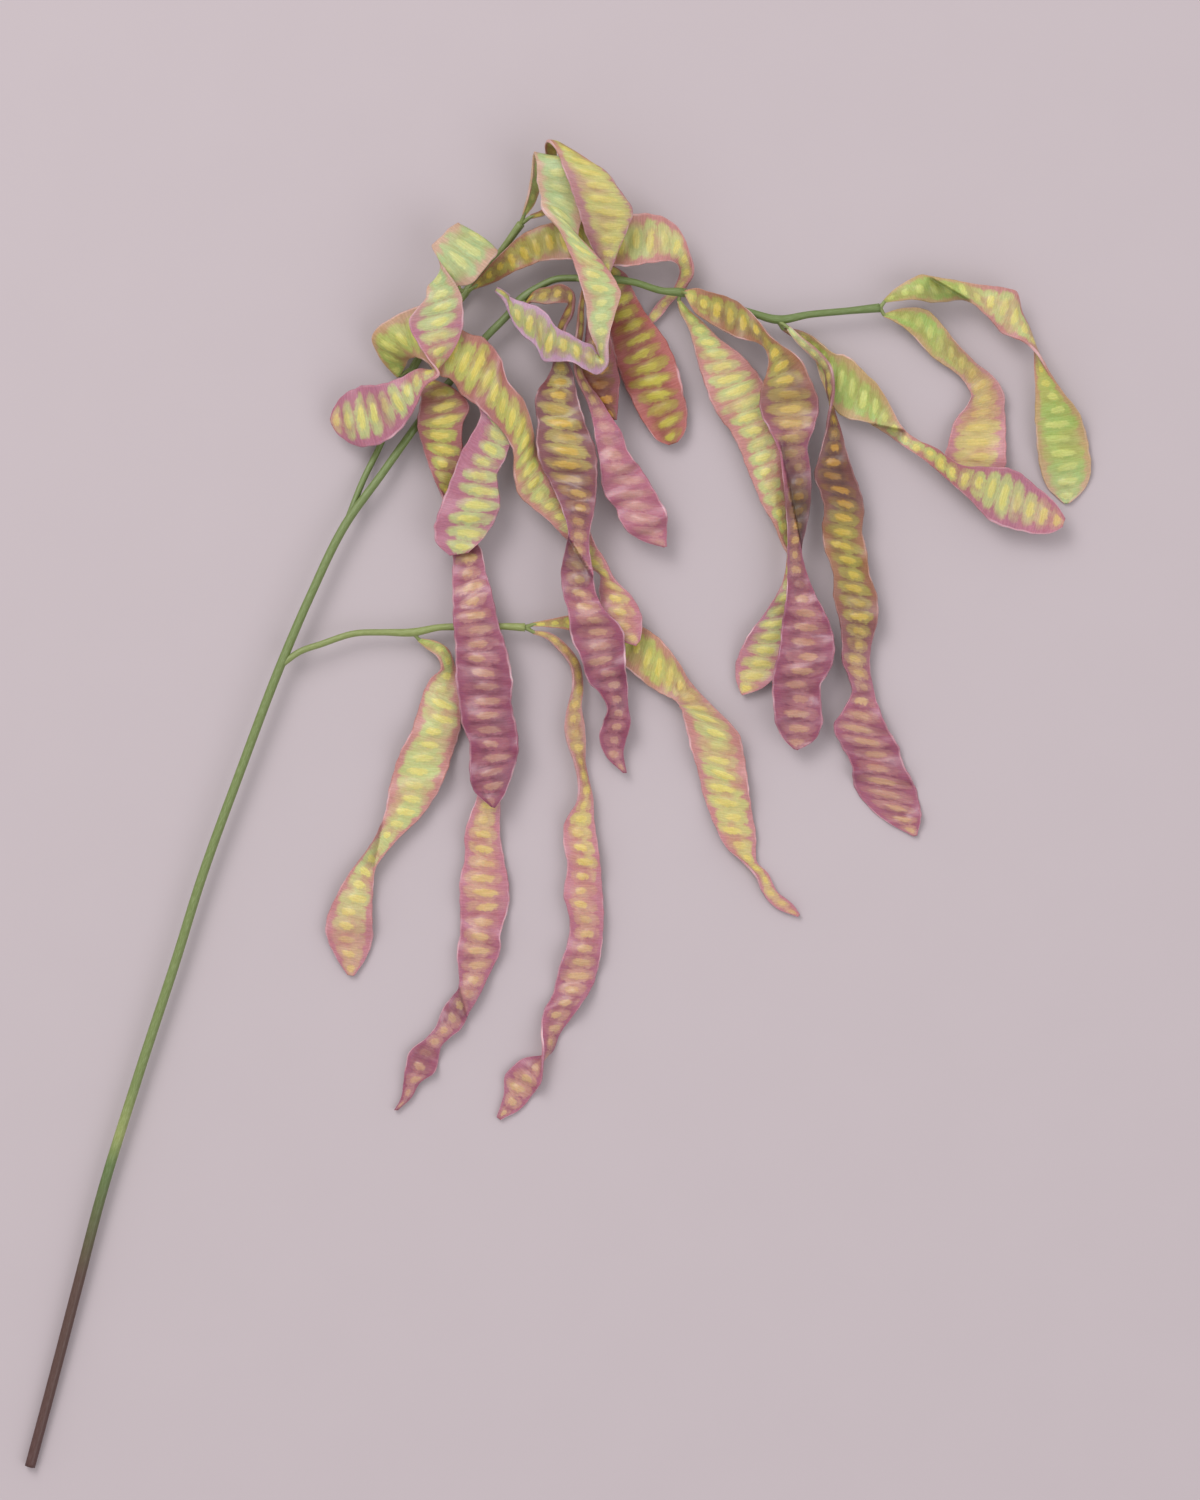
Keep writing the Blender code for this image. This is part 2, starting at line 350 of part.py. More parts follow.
def stem_tube(name, points, diameter):
    """A tapering tube through points, with filled ends, as a mesh."""
    curve = bpy.data.curves.new(name, "CURVE")
    curve.dimensions = "3D"
    curve.bevel_depth = diameter / 2
    curve.bevel_resolution = 2
    curve.use_fill_caps = True
    curve.resolution_u = 2
    spline = curve.splines.new("BEZIER")
    spline.bezier_points.add(len(points) - 1)
    for knot, (x, y, z, share) in zip(spline.bezier_points, points):
        knot.co = place(x, y, z)
        knot.radius = share
        knot.handle_left_type = knot.handle_right_type = "AUTO"
    tube = bpy.data.objects.new(name, curve)
    bpy.context.scene.collection.objects.link(tube)
    bpy.context.view_layer.update()
    mesh = bpy.data.meshes.new_from_object(tube.evaluated_get(bpy.context.evaluated_depsgraph_get()))
    bpy.data.objects.remove(tube)
    solid = bpy.data.objects.new(name, mesh)
    bpy.context.scene.collection.objects.link(solid)
    bpy.context.view_layer.objects.active = solid
    solid.select_set(True)
    bpy.ops.object.mode_set(mode="EDIT")
    bpy.ops.mesh.select_all(action="SELECT")
    bpy.ops.mesh.remove_doubles(threshold=0.01 * MM)
    bpy.ops.mesh.normals_make_consistent(inside=False)
    bpy.ops.object.mode_set(mode="OBJECT")
    solid.select_set(False)
    return solid


def branched_stem():
    """The main stem with its two side stems grown on."""
    stem = stem_tube("stem", MAIN_STEM, FOOT_DIAMETER)
    for name, points in (("upper_side", UPPER_SIDE_STEM), ("lower_side", LOWER_SIDE_STEM)):
        side = stem_tube(name, points, SIDE_DIAMETER)
        join = stem.modifiers.new(name, "BOOLEAN")
        join.operation = "UNION"
        join.solver = "EXACT"
        join.object = side
        bpy.context.view_layer.objects.active = stem
        bpy.ops.object.modifier_apply(modifier=join.name)
        bpy.data.objects.remove(side)
    return stem


def coloured(name, colour, roughness):
    material = bpy.data.materials.new(name)
    material.use_nodes = True
    shader = material.node_tree.nodes["Principled BSDF"]
    shader.inputs["Base Color"].default_value = (*colour, 1)
    shader.inputs["Roughness"].default_value = roughness
    return material


def centre_on_box(objects):
    """Moves every mesh so that the whole stands on z = 0 with its box centred on the origin."""
    points = np.concatenate([
        np.array([vertex.co for vertex in each.data.vertices]) for each in objects
    ])
    low, high = points.min(axis=0), points.max(axis=0)
    shift = -np.array([(low[0] + high[0]) / 2, (low[1] + high[1]) / 2, low[2]])
    for each in objects:
        for vertex in each.data.vertices:
            vertex.co = np.array(vertex.co) + shift


for startup in list(bpy.data.objects):
    bpy.data.objects.remove(startup)
twig = bpy.data.collections.new("acacia_pod_twig")
bpy.context.scene.collection.children.link(twig)

stem = branched_stem()
bpy.context.scene.collection.objects.unlink(stem)
twig.objects.link(stem)
stem.data.materials.append(coloured("stem_skin", STEM_COLOUR, 0.5))
for pod_name, pod_stations in PODS.items():
    pod = bpy.data.objects.new(pod_name, pod_mesh(pod_name, pod_stations))
    pod.data.materials.append(coloured(pod_name + "_skin", POD_COLOUR, 0.4))
    twig.objects.link(pod)
centre_on_box(list(twig.objects))
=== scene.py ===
"""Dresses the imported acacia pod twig: fine pods and stems with their green, gold and mauve skins, lit
softly on a plain pale floor and seen from straight above, as the twig lies.

Metres, +Z up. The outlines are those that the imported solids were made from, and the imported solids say
where they lie.
"""

from functools import partialmethod
from typing import NamedTuple

import bpy
import numpy as np
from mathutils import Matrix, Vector

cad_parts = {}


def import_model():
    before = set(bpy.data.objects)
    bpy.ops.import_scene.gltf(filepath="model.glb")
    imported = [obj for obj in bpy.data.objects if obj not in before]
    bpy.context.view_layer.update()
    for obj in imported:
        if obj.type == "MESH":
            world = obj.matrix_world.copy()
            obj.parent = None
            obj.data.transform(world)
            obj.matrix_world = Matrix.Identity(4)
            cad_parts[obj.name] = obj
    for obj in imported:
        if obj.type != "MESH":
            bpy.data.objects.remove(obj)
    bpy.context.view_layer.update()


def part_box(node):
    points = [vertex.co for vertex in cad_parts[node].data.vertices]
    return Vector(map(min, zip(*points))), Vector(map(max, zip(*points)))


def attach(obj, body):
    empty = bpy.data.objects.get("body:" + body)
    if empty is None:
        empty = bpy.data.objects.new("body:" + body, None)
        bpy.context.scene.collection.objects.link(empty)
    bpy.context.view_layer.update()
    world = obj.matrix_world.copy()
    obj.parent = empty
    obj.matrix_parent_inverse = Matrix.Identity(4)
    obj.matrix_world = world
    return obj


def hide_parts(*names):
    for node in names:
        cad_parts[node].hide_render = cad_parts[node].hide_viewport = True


MM = 0.001
PIXEL = 0.4 * MM  # real size of one pixel of the photograph, in which the outlines are traced
PHOTO_WIDTH, PHOTO_HEIGHT = 1200, 1500

# Pod section, as in the solids
NARROWEST = 1.6 * MM
RIM_THICKNESS = 1.0 * MM
WALL_THICKNESS = 1.3 * MM
SEED_THICKNESS = 1.1 * MM
SEED_BAND = 0.42  # of the half width
CUPPING = 0.05  # of the width
PLAIN_WIDTH, SEEDED_WIDTH = 6 * MM, 14 * MM
SOLID_SEED_PITCH, SOLID_COLUMNS = 6.2 * MM, (-1.0, -SEED_BAND, SEED_BAND, 1.0)
SOLID_ROWS_PER_SEED = 2

# Pod section, finer than the solids
SEED_PITCH = 5.8 * MM
ROWS_PER_SEED = 12
INNER_COLUMNS = 17
SEED_LENGTH = 0.36  # half, of the pitch
FINE_SEED_THICKNESS = 0.8 * MM
VALLEY, VALLEY_LENGTH = 0.3 * MM, 0.13  # between seeds; its length of the pitch
RIM_THINNING = 0.2 * MM  # from the middle to a rim
EDGE_CORD = 0.055  # half the width of the raised cord along a rim, of the half width
CORD_THICKNESS = 1.25 * MM
RIM_WAVE, SCALLOP, NARROWING = 1.1 * MM, 0.022, 0.012  # the last two of the half width
CUP_CHANGE = 0.7  # how much the cupping changes along the pod
ROLL = 0.055  # how far the pod rolls to and fro, of its half width
FOLD_STEP, FOLD_EDGE, FOLD_REACH = 1.3 * MM, 0.5 * MM, 4.5 * MM  # how high, how sharp and how far
FOLD_LIFT = 0.6  # of the step, by which the covering side is lifted
FOLD_BEYOND, FOLD_FADE = 0.05, 8  # how far past its ends a fold goes, of its length, and how fast it ends
SEED_BOW, SEED_DRIFT = 0.1, 0.12  # of the pitch
PATTERN_DRIFT = 0.1  # of the half width
CRINKLES = ((21, 1.2), (12.5, 0.95), (8.1, 0.42))  # length and depth in mm
CRINKLE_TURN = 0.4  # at most, in radians from straight across

# Wanders along a pod: how fast each one goes, and its random draw, to which a pod's number is added
SEED_WANDER, PATTERN_WANDER, CUP_WANDER, ROLL_WANDER = (1.9, 40), (1.4, 60), (0.8, 80), (0.7, 90)
NARROWING_WANDER, CRINKLE_DRAW = (2.3, 0), 500  # the narrowing's number is 7 times the pod's
WANDER_PERIODS, WANDER_PEAK = (3.7, 6.1, 9.7), 2.2  # in seeds, and about the most they add up to

# Stems
FOOT_DIAMETER, FORK_DIAMETER, END_DIAMETER, SIDE_DIAMETER = 4.2 * MM, 3.2 * MM, 2.8 * MM, 2.6 * MM
KNOT = 1.3  # how much thicker a stem is at a knot
STEM_SIDES, STEM_STEP = 20, 1.5 * MM
RIDGES, RIDGE_DEPTH = 5, 0.035
FORK = FORK_DIAMETER / FOOT_DIAMETER
END = END_DIAMETER / FOOT_DIAMETER

# Stalks
STALK_DIAMETER, STALK_ROWS, STALK_HUE = 1.7 * MM, 12, 0.45
STALK_TAPER = ((0, 0.4, 0.8, 1), (1.25, 0.9, 0.85, 0.25))
STALK_BEND = (0.45, 0.55)  # the stalk's middle, as shares of the knot and of the pod's base
INTO_POD = 0.35  # of the way to the pod's second station

# A stem point is x, y in photo pixels, height of the centre line in mm, diameter as a share of the
# foot's for the main stem and of SIDE_DIAMETER for the others.
MAIN_STEM = [
    (27, 1470, 2.1, 1.0), (50, 1385, 3.2, 1.0), (75, 1290, 4.4, 1.0), (100, 1195, 5.2, 0.98),
    (137, 1076, 6.0, 0.95), (175, 960, 6.8, 0.92), (200, 880, 7.4, 0.9), (240, 770, 8.2, 0.87),
    (280, 665, 9.0, 0.88), (310, 595, 8.8, 0.82), (346, 522, 8.0, 0.84), (380, 475, 7.2, FORK),
    (412, 430, 7.0, FORK), (450, 380, 7.8, 0.74), (486, 336, 9.0, 0.72), (507, 315, 10.0, 0.72),
    (521, 299, 10.6, 0.72 * KNOT), (538, 287, 11.2, 0.7), (556, 279, 11.6, END),
    (576, 278, 12.0, END), (596, 278, 12.2, END * KNOT), (633, 282, 12.2, END),
    (664, 291, 12.0, END), (680, 292, 11.8, END * KNOT), (715, 301, 10.8, END),
    (751, 312, 10.2, END), (777, 319, 10.0, END * KNOT), (809, 314, 9.6, END),
    (850, 310, 9.2, END), (880, 307, 9.0, END * KNOT),
]
UPPER_SIDE_STEM = [
    (346, 522, 8.0, 1.0), (362, 480, 5.0, 1.0), (379, 444, 2.8, 1.0), (395, 405, 1.8, 1.0),
    (412, 366, 1.7, KNOT), (437, 328, 1.8, 1.0), (464, 291, 2.4, KNOT),
    (482, 270, 3.6, 1.0), (500, 250, 5.0, 1.0), (521, 222, 7.0, KNOT),
]
LOWER_SIDE_STEM = [
    (280, 665, 9.0, 1.0), (300, 651, 8.6, 1.0), (320, 644, 8.2, 1.0), (355, 633, 7.8, 1.0),
    (383, 632, 7.6, 1.0), (412, 632, 7.5, KNOT), (439, 627, 7.5, 1.0),
    (478, 627, 7.5, KNOT), (502, 626, 7.5, 1.0), (525, 627, 7.5, KNOT),
]

# The skins' colours as the eye reads them, 0 to 255: in the lobes around the seeds, on a seed, in the
# margins and between the lobes. The last number is how crinkled and glossy the skin is.
LIME = ((170, 182, 92), (198, 204, 112), (186, 156, 106), (158, 156, 80), 0.1)
PALE_GREEN = ((182, 194, 136), (206, 208, 136), (202, 166, 142), (174, 178, 118), 0.1)
GREEN_GOLD = ((188, 184, 96), (212, 198, 92), (188, 136, 110), (166, 128, 80), 0.25)
GREEN_RED = ((182, 172, 90), (212, 194, 92), (166, 100, 100), (152, 100, 80), 0.3)
PEACH_GREEN = ((196, 196, 128), (220, 208, 118), (194, 134, 128), (192, 140, 116), 0.2)
GREEN_MAUVE = ((188, 188, 128), (212, 204, 112), (178, 112, 132), (172, 112, 118), 0.4)
OLIVE = ((160, 144, 68), (200, 174, 66), (158, 108, 76), (128, 94, 52), 0.35)
OLIVE_MAUVE = ((166, 138, 82), (194, 164, 76), (142, 86, 90), (118, 70, 66), 0.6)
PINK_YELLOW = ((204, 178, 118), (220, 198, 106), (196, 132, 138), (188, 124, 114), 0.3)
PINK = ((200, 148, 130), (214, 180, 114), (190, 120, 136), (182, 112, 118), 0.45)
ROSE = ((192, 140, 126), (204, 164, 120), (176, 104, 126), (150, 78, 98), 0.8)
WRINKLED_ROSE = ((190, 132, 132), (196, 148, 130), (184, 112, 132), (170, 98, 116), 0.9)
PLUM = ((158, 90, 104), (184, 134, 118), (146, 70, 98), (120, 52, 74), 1.0)
UMBER = ((126, 86, 48), (180, 132, 46), (120, 70, 66), (86, 46, 40), 0.45)
UMBER_GREEN = ((178, 158, 90), (206, 170, 72), (130, 76, 80), (118, 68, 68), 0.6)
MAUVE = ((172, 112, 118), (190, 142, 116), (156, 84, 108), (128, 58, 80), 1.0)
DARK_MAUVE = ((148, 98, 78), (184, 144, 84), (144, 84, 98), (106, 56, 62), 0.9)
RED = ((166, 134, 62), (188, 176, 60), (176, 98, 92), (146, 76, 62), 0.1)
DARK_RED = ((134, 78, 48), (190, 136, 50), (146, 78, 84), (112, 52, 42), 0.25)
LAVENDER_GREEN = ((166, 162, 98), (204, 188, 96), (184, 144, 168), (158, 118, 118), 0.25)
GOLD_MAUVE = ((198, 186, 116), (212, 196, 108), (178, 126, 128), (180, 144, 112), 0.3)
TAN = ((186, 152, 102), (208, 178, 98), (186, 134, 128), (160, 114, 88), 0.35)
FIELD, SEED, MARGIN, BETWEEN, CRINKLED = range(5)


class Pod(NamedTuple):
    """One pod's outline, skins and pattern.

    A station is x, y of one rim and x, y of the other in photo pixels, the height of the middle in mm
    and, where the rims aren't level, how much higher the first one is, in mm. The stations run from the
    stalk to the tip, and the rims change sides where the pod twists.
    """

    stations: list
    skins: list  # each with how far along the pod it is
    lean: float = 0.0  # how far its margin leans to the first rim, of the half width
    slant: float = 0.1  # how far the seeds slant from straight across, of their spacing
    bars: float = 0.8  # how strongly the margin's colour runs across between the seeds
    seeds: float = 1.0  # how strongly the seeds show through
    fold: tuple = ()  # ends of the folded-over edge, in photo pixels, the covered side on its right
    shade: float = 0.8  # how dark it is under the fold


PODS = {}
PODS["pod_left_twist"] = Pod([
    (460, 286, 457, 288, 4.5), (452, 268, 458, 262, 10, -3), (448, 246, 474, 256, 16, -4),
    (457, 228, 499, 250, 22), (438, 244, 487, 271, 27, 3), (435, 255, 464, 289, 28, 6),
    (444, 270, 436, 286, 28, 7), (461, 295, 426, 303, 28, 2), (465, 318, 410, 325, 28),
    (462, 338, 420, 348, 28, -3), (450, 358, 430, 364, 27, -6), (436, 371, 440, 377, 26, -7),
    (420, 370, 428, 388, 24, -5), (398, 380, 416, 412, 21, -2), (380, 385, 402, 431, 18),
    (362, 386, 378, 445, 14), (348, 392, 358, 447, 11.5), (338, 401, 345, 441, 9), (332, 411, 335, 431, 7.5),
    (330, 418, 331, 423, 7),
], [(0, LIME), (0.25, PALE_GREEN), (0.4, PALE_GREEN), (0.52, GREEN_MAUVE), (0.62, PEACH_GREEN),
    (0.76, GREEN_MAUVE), (0.94, GREEN_MAUVE), (1, PINK)], slant=0.15, bars=0.9)
PODS["pod_left_long"] = Pod([
    (400, 372, 396, 376, 4.5), (405, 365, 387, 367, 6.5), (408, 361, 376, 351, 9.5),
    (411, 359, 371, 337, 12.5), (415, 358, 381, 325, 14.5), (420, 359, 400, 314, 16),
    (428, 364, 422, 306, 17.5), (440, 377, 448, 315, 19), (452, 382, 466, 333, 20), (462, 396, 484, 339, 20),
    (478, 408, 500, 357, 20.5), (498, 428, 509, 382, 21, -2), (512, 448, 525, 404, 20),
    (514, 458, 532, 427, 18, 2), (515, 475, 536, 446, 16, 3), (517, 493, 543, 467, 14, 2),
    (531, 507, 553, 488, 12), (546, 519, 566, 505, 11), (560, 533, 585, 520, 10),
    (572, 546, 596, 544, 9.5, -2), (585, 565, 606, 560, 9.5, -3), (600, 574, 614, 578, 10, -4),
    (598, 590, 630, 594, 10.5, -2), (604, 615, 641, 612, 11), (618, 640, 642, 632, 11.5),
    (636, 646, 640, 641, 12),
], [(0, LIME), (0.2, GREEN_GOLD), (0.35, GREEN_RED), (0.5, GREEN_GOLD), (0.7, PEACH_GREEN),
    (0.85, PINK_YELLOW), (1, PINK)])
PODS["pod_left_drop"] = Pod([
    (414, 376, 418, 374, 4.5), (418, 386, 436, 380, 9), (421, 398, 457, 390, 12.5), (418, 412, 470, 404, 13),
    (417, 425, 463, 427, 12.5), (420, 441, 463, 448, 11), (427, 462, 462, 470, 9.5),
    (434, 480, 458, 492, 8.5, 3), (442, 498, 456, 510, 8, 5), (446, 522, 460, 528, 8, 4),
    (452, 552, 481, 548, 9), (452, 575, 486, 572, 10), (452, 600, 492, 590, 11.5),
    (453, 622, 498, 620, 12.5), (455, 650, 508, 652, 12.5), (455, 672, 513, 678, 12),
    (458, 700, 512, 702, 12), (461, 722, 516, 722, 12), (469, 744, 519, 745, 11.5), (469, 772, 515, 768, 11),
    (476, 794, 504, 796, 10.5), (491, 807, 495, 808, 10),
], [(0, GREEN_GOLD), (0.1, GREEN_RED), (0.25, GREEN_RED), (0.38, OLIVE_MAUVE), (0.48, ROSE), (0.66, MAUVE),
    (0.84, PLUM)], slant=-0.12, bars=0.95)
PODS["pod_left_short"] = Pod([
    (474, 358, 478, 356, 12), (479, 378, 487, 376, 14.5, 2), (478, 402, 500, 410, 16, 1),
    (480, 418, 511, 432, 17), (470, 438, 510, 448, 17), (461, 454, 504, 463, 16.5), (453, 474, 498, 476, 16),
    (445, 495, 500, 496, 15), (437, 516, 500, 510, 14.5), (434, 531, 490, 530, 14), (438, 546, 478, 545, 14),
    (450, 556, 468, 553, 14),
], [(0, GREEN_MAUVE), (1, GREEN_MAUVE)], lean=0.24, slant=0.3, bars=0.9)
PODS["pod_centre_long"] = Pod([
    (527, 302, 525, 306, 12), (536, 291, 531, 303, 14), (550, 287, 545, 305, 15), (563, 285, 560, 304, 15.5),
    (573, 292, 568, 304, 15.5, 2), (573, 311, 566, 311, 15, 5), (565, 328, 559, 328, 14, 5),
    (562, 346, 556, 346, 13.5, 4), (572, 370, 551, 369, 14, 2), (579, 400, 535, 400, 16),
    (586, 424, 537, 422, 17), (595, 447, 536, 444, 18), (598, 470, 541, 467, 18.5),
    (597, 490, 553, 490, 18.5, 2), (594, 515, 562, 511, 18.5), (590, 534, 568, 532, 18.5),
    (590, 552, 565, 550, 18), (593, 570, 561, 570, 17.5), (596, 592, 562, 590, 18), (606, 611, 568, 614, 18),
    (622, 628, 571, 638, 17), (626, 650, 581, 660, 15), (626, 670, 588, 682, 13),
    (629, 688, 600, 694, 11, -2), (628, 704, 606, 708, 9, -3), (631, 721, 603, 722, 7.5),
    (627, 738, 599, 738, 6), (624, 752, 605, 755, 5), (627, 773, 623, 773, 4.2),
], [(0, OLIVE), (0.15, OLIVE_MAUVE), (0.25, UMBER_GREEN), (0.38, UMBER_GREEN), (0.48, DARK_MAUVE),
    (0.62, ROSE), (0.8, PLUM), (1, MAUVE)], slant=-0.15, bars=0.85, fold=((568, 536), (595, 580)))
PODS["pod_crown_twist"] = Pod([
    (522, 214, 526, 214, 9), (527, 200, 534, 203, 12, 4), (532, 180, 540, 186, 17, 6),
    (534, 157, 556, 163, 22.5, 2), (537, 170, 575, 165, 26), (537, 186, 580, 185, 26),
    (540, 197, 582, 204, 24.5), (541, 204, 582, 222, 24), (542, 209, 579, 238, 25.5),
    (552, 224, 586, 249, 27.5), (563, 243, 595, 257, 28.5), (572, 263, 606, 270, 28.5),
    (580, 287, 616, 285, 28.5), (585, 305, 621, 298, 28), (587, 322, 616, 315, 27.5),
    (590, 337, 611, 332, 27), (597, 350, 608, 350, 26.5, -3), (599, 358, 606, 370, 26, -4),
    (592, 347, 597, 377, 25, -2), (583, 344, 585, 372, 24.5), (570, 336, 573, 365, 24),
    (557, 329, 560, 364, 23), (549, 317, 545, 364, 22), (537, 308, 536, 348, 21), (522, 303, 523, 337, 20),
    (510, 298, 512, 322, 19, -2), (508, 296, 506, 304, 18, -3), (498, 288, 495, 293, 17),
], [(0, LIME), (0.2, PALE_GREEN), (0.36, PALE_GREEN), (0.44, PEACH_GREEN), (0.6, PALE_GREEN),
    (0.7, LAVENDER_GREEN)], slant=0.25, bars=0.75)
PODS["pod_crown_fold"] = Pod([
    (530, 214, 532, 218, 9), (543, 208, 546, 214, 9.5), (550, 190, 556, 192, 11, 2),
    (548, 167, 557, 167, 14, 3), (545, 150, 557, 149, 20, 2), (548, 146, 562, 150, 28),
    (558, 160, 587, 165, 33), (564, 176, 607, 178, 33.5), (571, 195, 621, 197, 33),
    (578, 214, 633, 216, 30.5), (585, 236, 627, 233, 26), (594, 256, 618, 255, 22.5),
    (606, 276, 610, 276, 20.5),
], [(0.3, OLIVE), (0.45, GREEN_GOLD), (0.6, GOLD_MAUVE), (0.85, GOLD_MAUVE), (1, GREEN_MAUVE)], lean=0.12,
    slant=0.2, bars=0.6)
PODS["pod_upper_cross"] = Pod([
    (472, 284, 474, 288, 5), (490, 264, 496, 281, 9), (505, 250, 512, 273, 12), (520, 236, 528, 267, 14),
    (538, 227, 545, 262, 15), (554, 223, 562, 261, 16), (580, 217, 585, 262, 16.5),
    (605, 214, 608, 266, 16.5), (633, 215, 626, 268, 16.5), (648, 214, 641, 266, 16.5),
    (664, 218, 656, 264, 16), (679, 229, 668, 262, 15), (689, 250, 677, 264, 12.5, 3),
    (694, 272, 680, 271, 9.5, 5), (688, 284, 677, 281, 6.5, 4), (682, 292, 672, 289, 4.5, 2),
    (672, 301, 662, 296, 3), (660, 316, 650, 311, 2.2), (642, 330, 638, 328, 1.8),
], [(0.28, OLIVE), (0.45, GREEN_GOLD), (0.58, PEACH_GREEN), (1, PINK_YELLOW)], slant=0.15, bars=0.7)
PODS["pod_centre_red"] = Pod([
    (608, 264, 612, 264, 8.5), (604, 272, 624, 271, 8), (604, 290, 633, 288, 7.5), (606, 312, 644, 308, 7),
    (610, 335, 657, 326, 7), (614, 355, 669, 344, 7), (620, 374, 679, 368, 6.5), (629, 394, 684, 392, 6),
    (640, 416, 688, 409, 5.5), (650, 431, 687, 425, 5), (658, 440, 684, 434, 4.7), (669, 444, 678, 441, 4.5),
], [(0, GREEN_RED), (0.2, RED)], slant=-0.4, bars=0.95)
PODS["pod_centre_dark"] = Pod([
    (596, 287, 600, 287, 13.5), (591, 298, 602, 298, 14), (587, 316, 607, 314, 14.5),
    (584, 344, 611, 338, 14.5), (577, 362, 616, 360, 14.5), (577, 376, 620, 380, 14),
    (586, 392, 619, 398, 13.5), (598, 405, 618, 410, 13), (613, 420, 617, 420, 12.5),
], [(0, DARK_RED), (1, DARK_RED)], slant=-0.3)
PODS["pod_centre_pink"] = Pod([
    (583, 283, 587, 284, 14.5), (579, 305, 584, 306, 17, 1), (577, 330, 583, 330, 18.5, 2),
    (574, 356, 580, 356, 19, 2), (575, 374, 582, 373, 19, 2), (580, 388, 589, 386, 19, 2),
    (587, 403, 600, 400, 18.5, 2), (592, 420, 609, 414, 17.5, 1), (595, 440, 622, 433, 16.5),
    (599, 462, 628, 451, 15.5), (601, 484, 640, 467, 14.5), (606, 498, 650, 482, 13.5),
    (615, 508, 659, 498, 12.5), (620, 521, 667, 512, 11.5), (631, 535, 668, 525, 10.5),
    (648, 543, 667, 538, 9.5), (664, 547, 667, 546, 9),
], [(0, OLIVE), (0.4, OLIVE_MAUVE), (0.5, WRINKLED_ROSE)], slant=0.5, bars=1.0, seeds=0.5)
PODS["pod_right_inner"] = Pod([
    (677, 301, 681, 300, 10.5), (680, 312, 689, 309, 10, 1), (688, 327, 703, 321, 9.5),
    (694, 347, 720, 338, 9), (701, 373, 742, 354, 8.5), (709, 397, 757, 370, 8), (718, 415, 766, 385, 8),
    (730, 430, 772, 405, 7.5), (740, 450, 778, 425, 7), (750, 475, 782, 455, 7), (762, 503, 785, 485, 7, 2),
    (773, 522, 788, 512, 6.5, 3), (782, 543, 790, 537, 6, 5), (793, 560, 788, 562, 5.5, 5),
    (799, 582, 783, 582, 5.5, 3), (796, 612, 766, 611, 5.5), (789, 650, 747, 637, 5),
    (777, 676, 736, 664, 4), (759, 690, 737, 682, 3), (743, 695, 741, 692, 2.5),
], [(0, LIME), (0.15, PEACH_GREEN), (0.5, PEACH_GREEN), (0.65, GREEN_GOLD), (0.8, GREEN_MAUVE),
    (1, PINK_YELLOW)], slant=0.35, bars=0.85)
PODS["pod_right_front"] = Pod([
    (685, 291, 685, 296, 15), (694, 289, 692, 310, 16), (710, 293, 708, 323, 16), (728, 298, 725, 333, 16),
    (745, 307, 743, 341, 15.5), (758, 321, 757, 343, 15, 2), (768, 335, 765, 348, 14.5, 3),
    (781, 345, 768, 361, 14.5, 1), (798, 357, 765, 376, 15), (812, 383, 760, 392, 15),
    (819, 406, 760, 413, 15), (816, 423, 767, 428, 15), (808, 445, 778, 450, 13.5),
    (811, 470, 782, 477, 13.5), (811, 500, 785, 505, 13.5), (807, 526, 787, 529, 13.5),
    (802, 550, 787, 551, 13.5), (807, 572, 787, 573, 13), (816, 595, 786, 595, 13),
    (829, 620, 782, 620, 12.5), (835, 650, 779, 649, 12), (832, 667, 774, 666, 11.5),
    (822, 684, 772, 685, 11), (822, 705, 773, 705, 10), (822, 728, 777, 728, 9), (812, 743, 785, 741, 8),
    (798, 750, 794, 749, 7.5),
], [(0, GREEN_GOLD), (0.08, OLIVE), (0.24, OLIVE), (0.32, OLIVE_MAUVE), (0.42, ROSE), (0.52, UMBER),
    (0.58, DARK_MAUVE), (0.7, MAUVE)], slant=-0.1, fold=((802, 552), (779, 442)), shade=0.95)
PODS["pod_right_sweep"] = Pod([
    (785, 327, 783, 330, 7.5), (796, 328, 792, 336, 7), (811, 334, 805, 345, 7, 2),
    (822, 343, 814, 354, 7.5, 4), (834, 352, 822, 380, 8, 2), (848, 355, 833, 406, 8.5),
    (864, 370, 850, 419, 9), (878, 384, 866, 422, 9.5), (891, 405, 876, 427, 9.5), (901, 424, 890, 436, 10),
    (910, 434, 902, 445, 10.5), (919, 440, 911, 451, 11), (937, 448, 928, 463, 11), (949, 457, 943, 476, 11),
    (963, 465, 955, 487, 11), (985, 466, 970, 500, 11), (1005, 467, 987, 518, 11),
    (1020, 472, 1001, 526, 10.5), (1035, 484, 1020, 531, 10), (1050, 497, 1040, 534, 9.5),
    (1060, 508, 1055, 532, 9.2), (1066, 518, 1063, 527, 9),
], [(0, OLIVE_MAUVE), (0.12, LIME), (0.36, LIME), (0.48, PEACH_GREEN), (0.6, GREEN_RED), (0.85, GREEN_MAUVE),
    (1, PINK)], slant=0.15, bars=0.8, fold=((872, 423), (905, 430)))
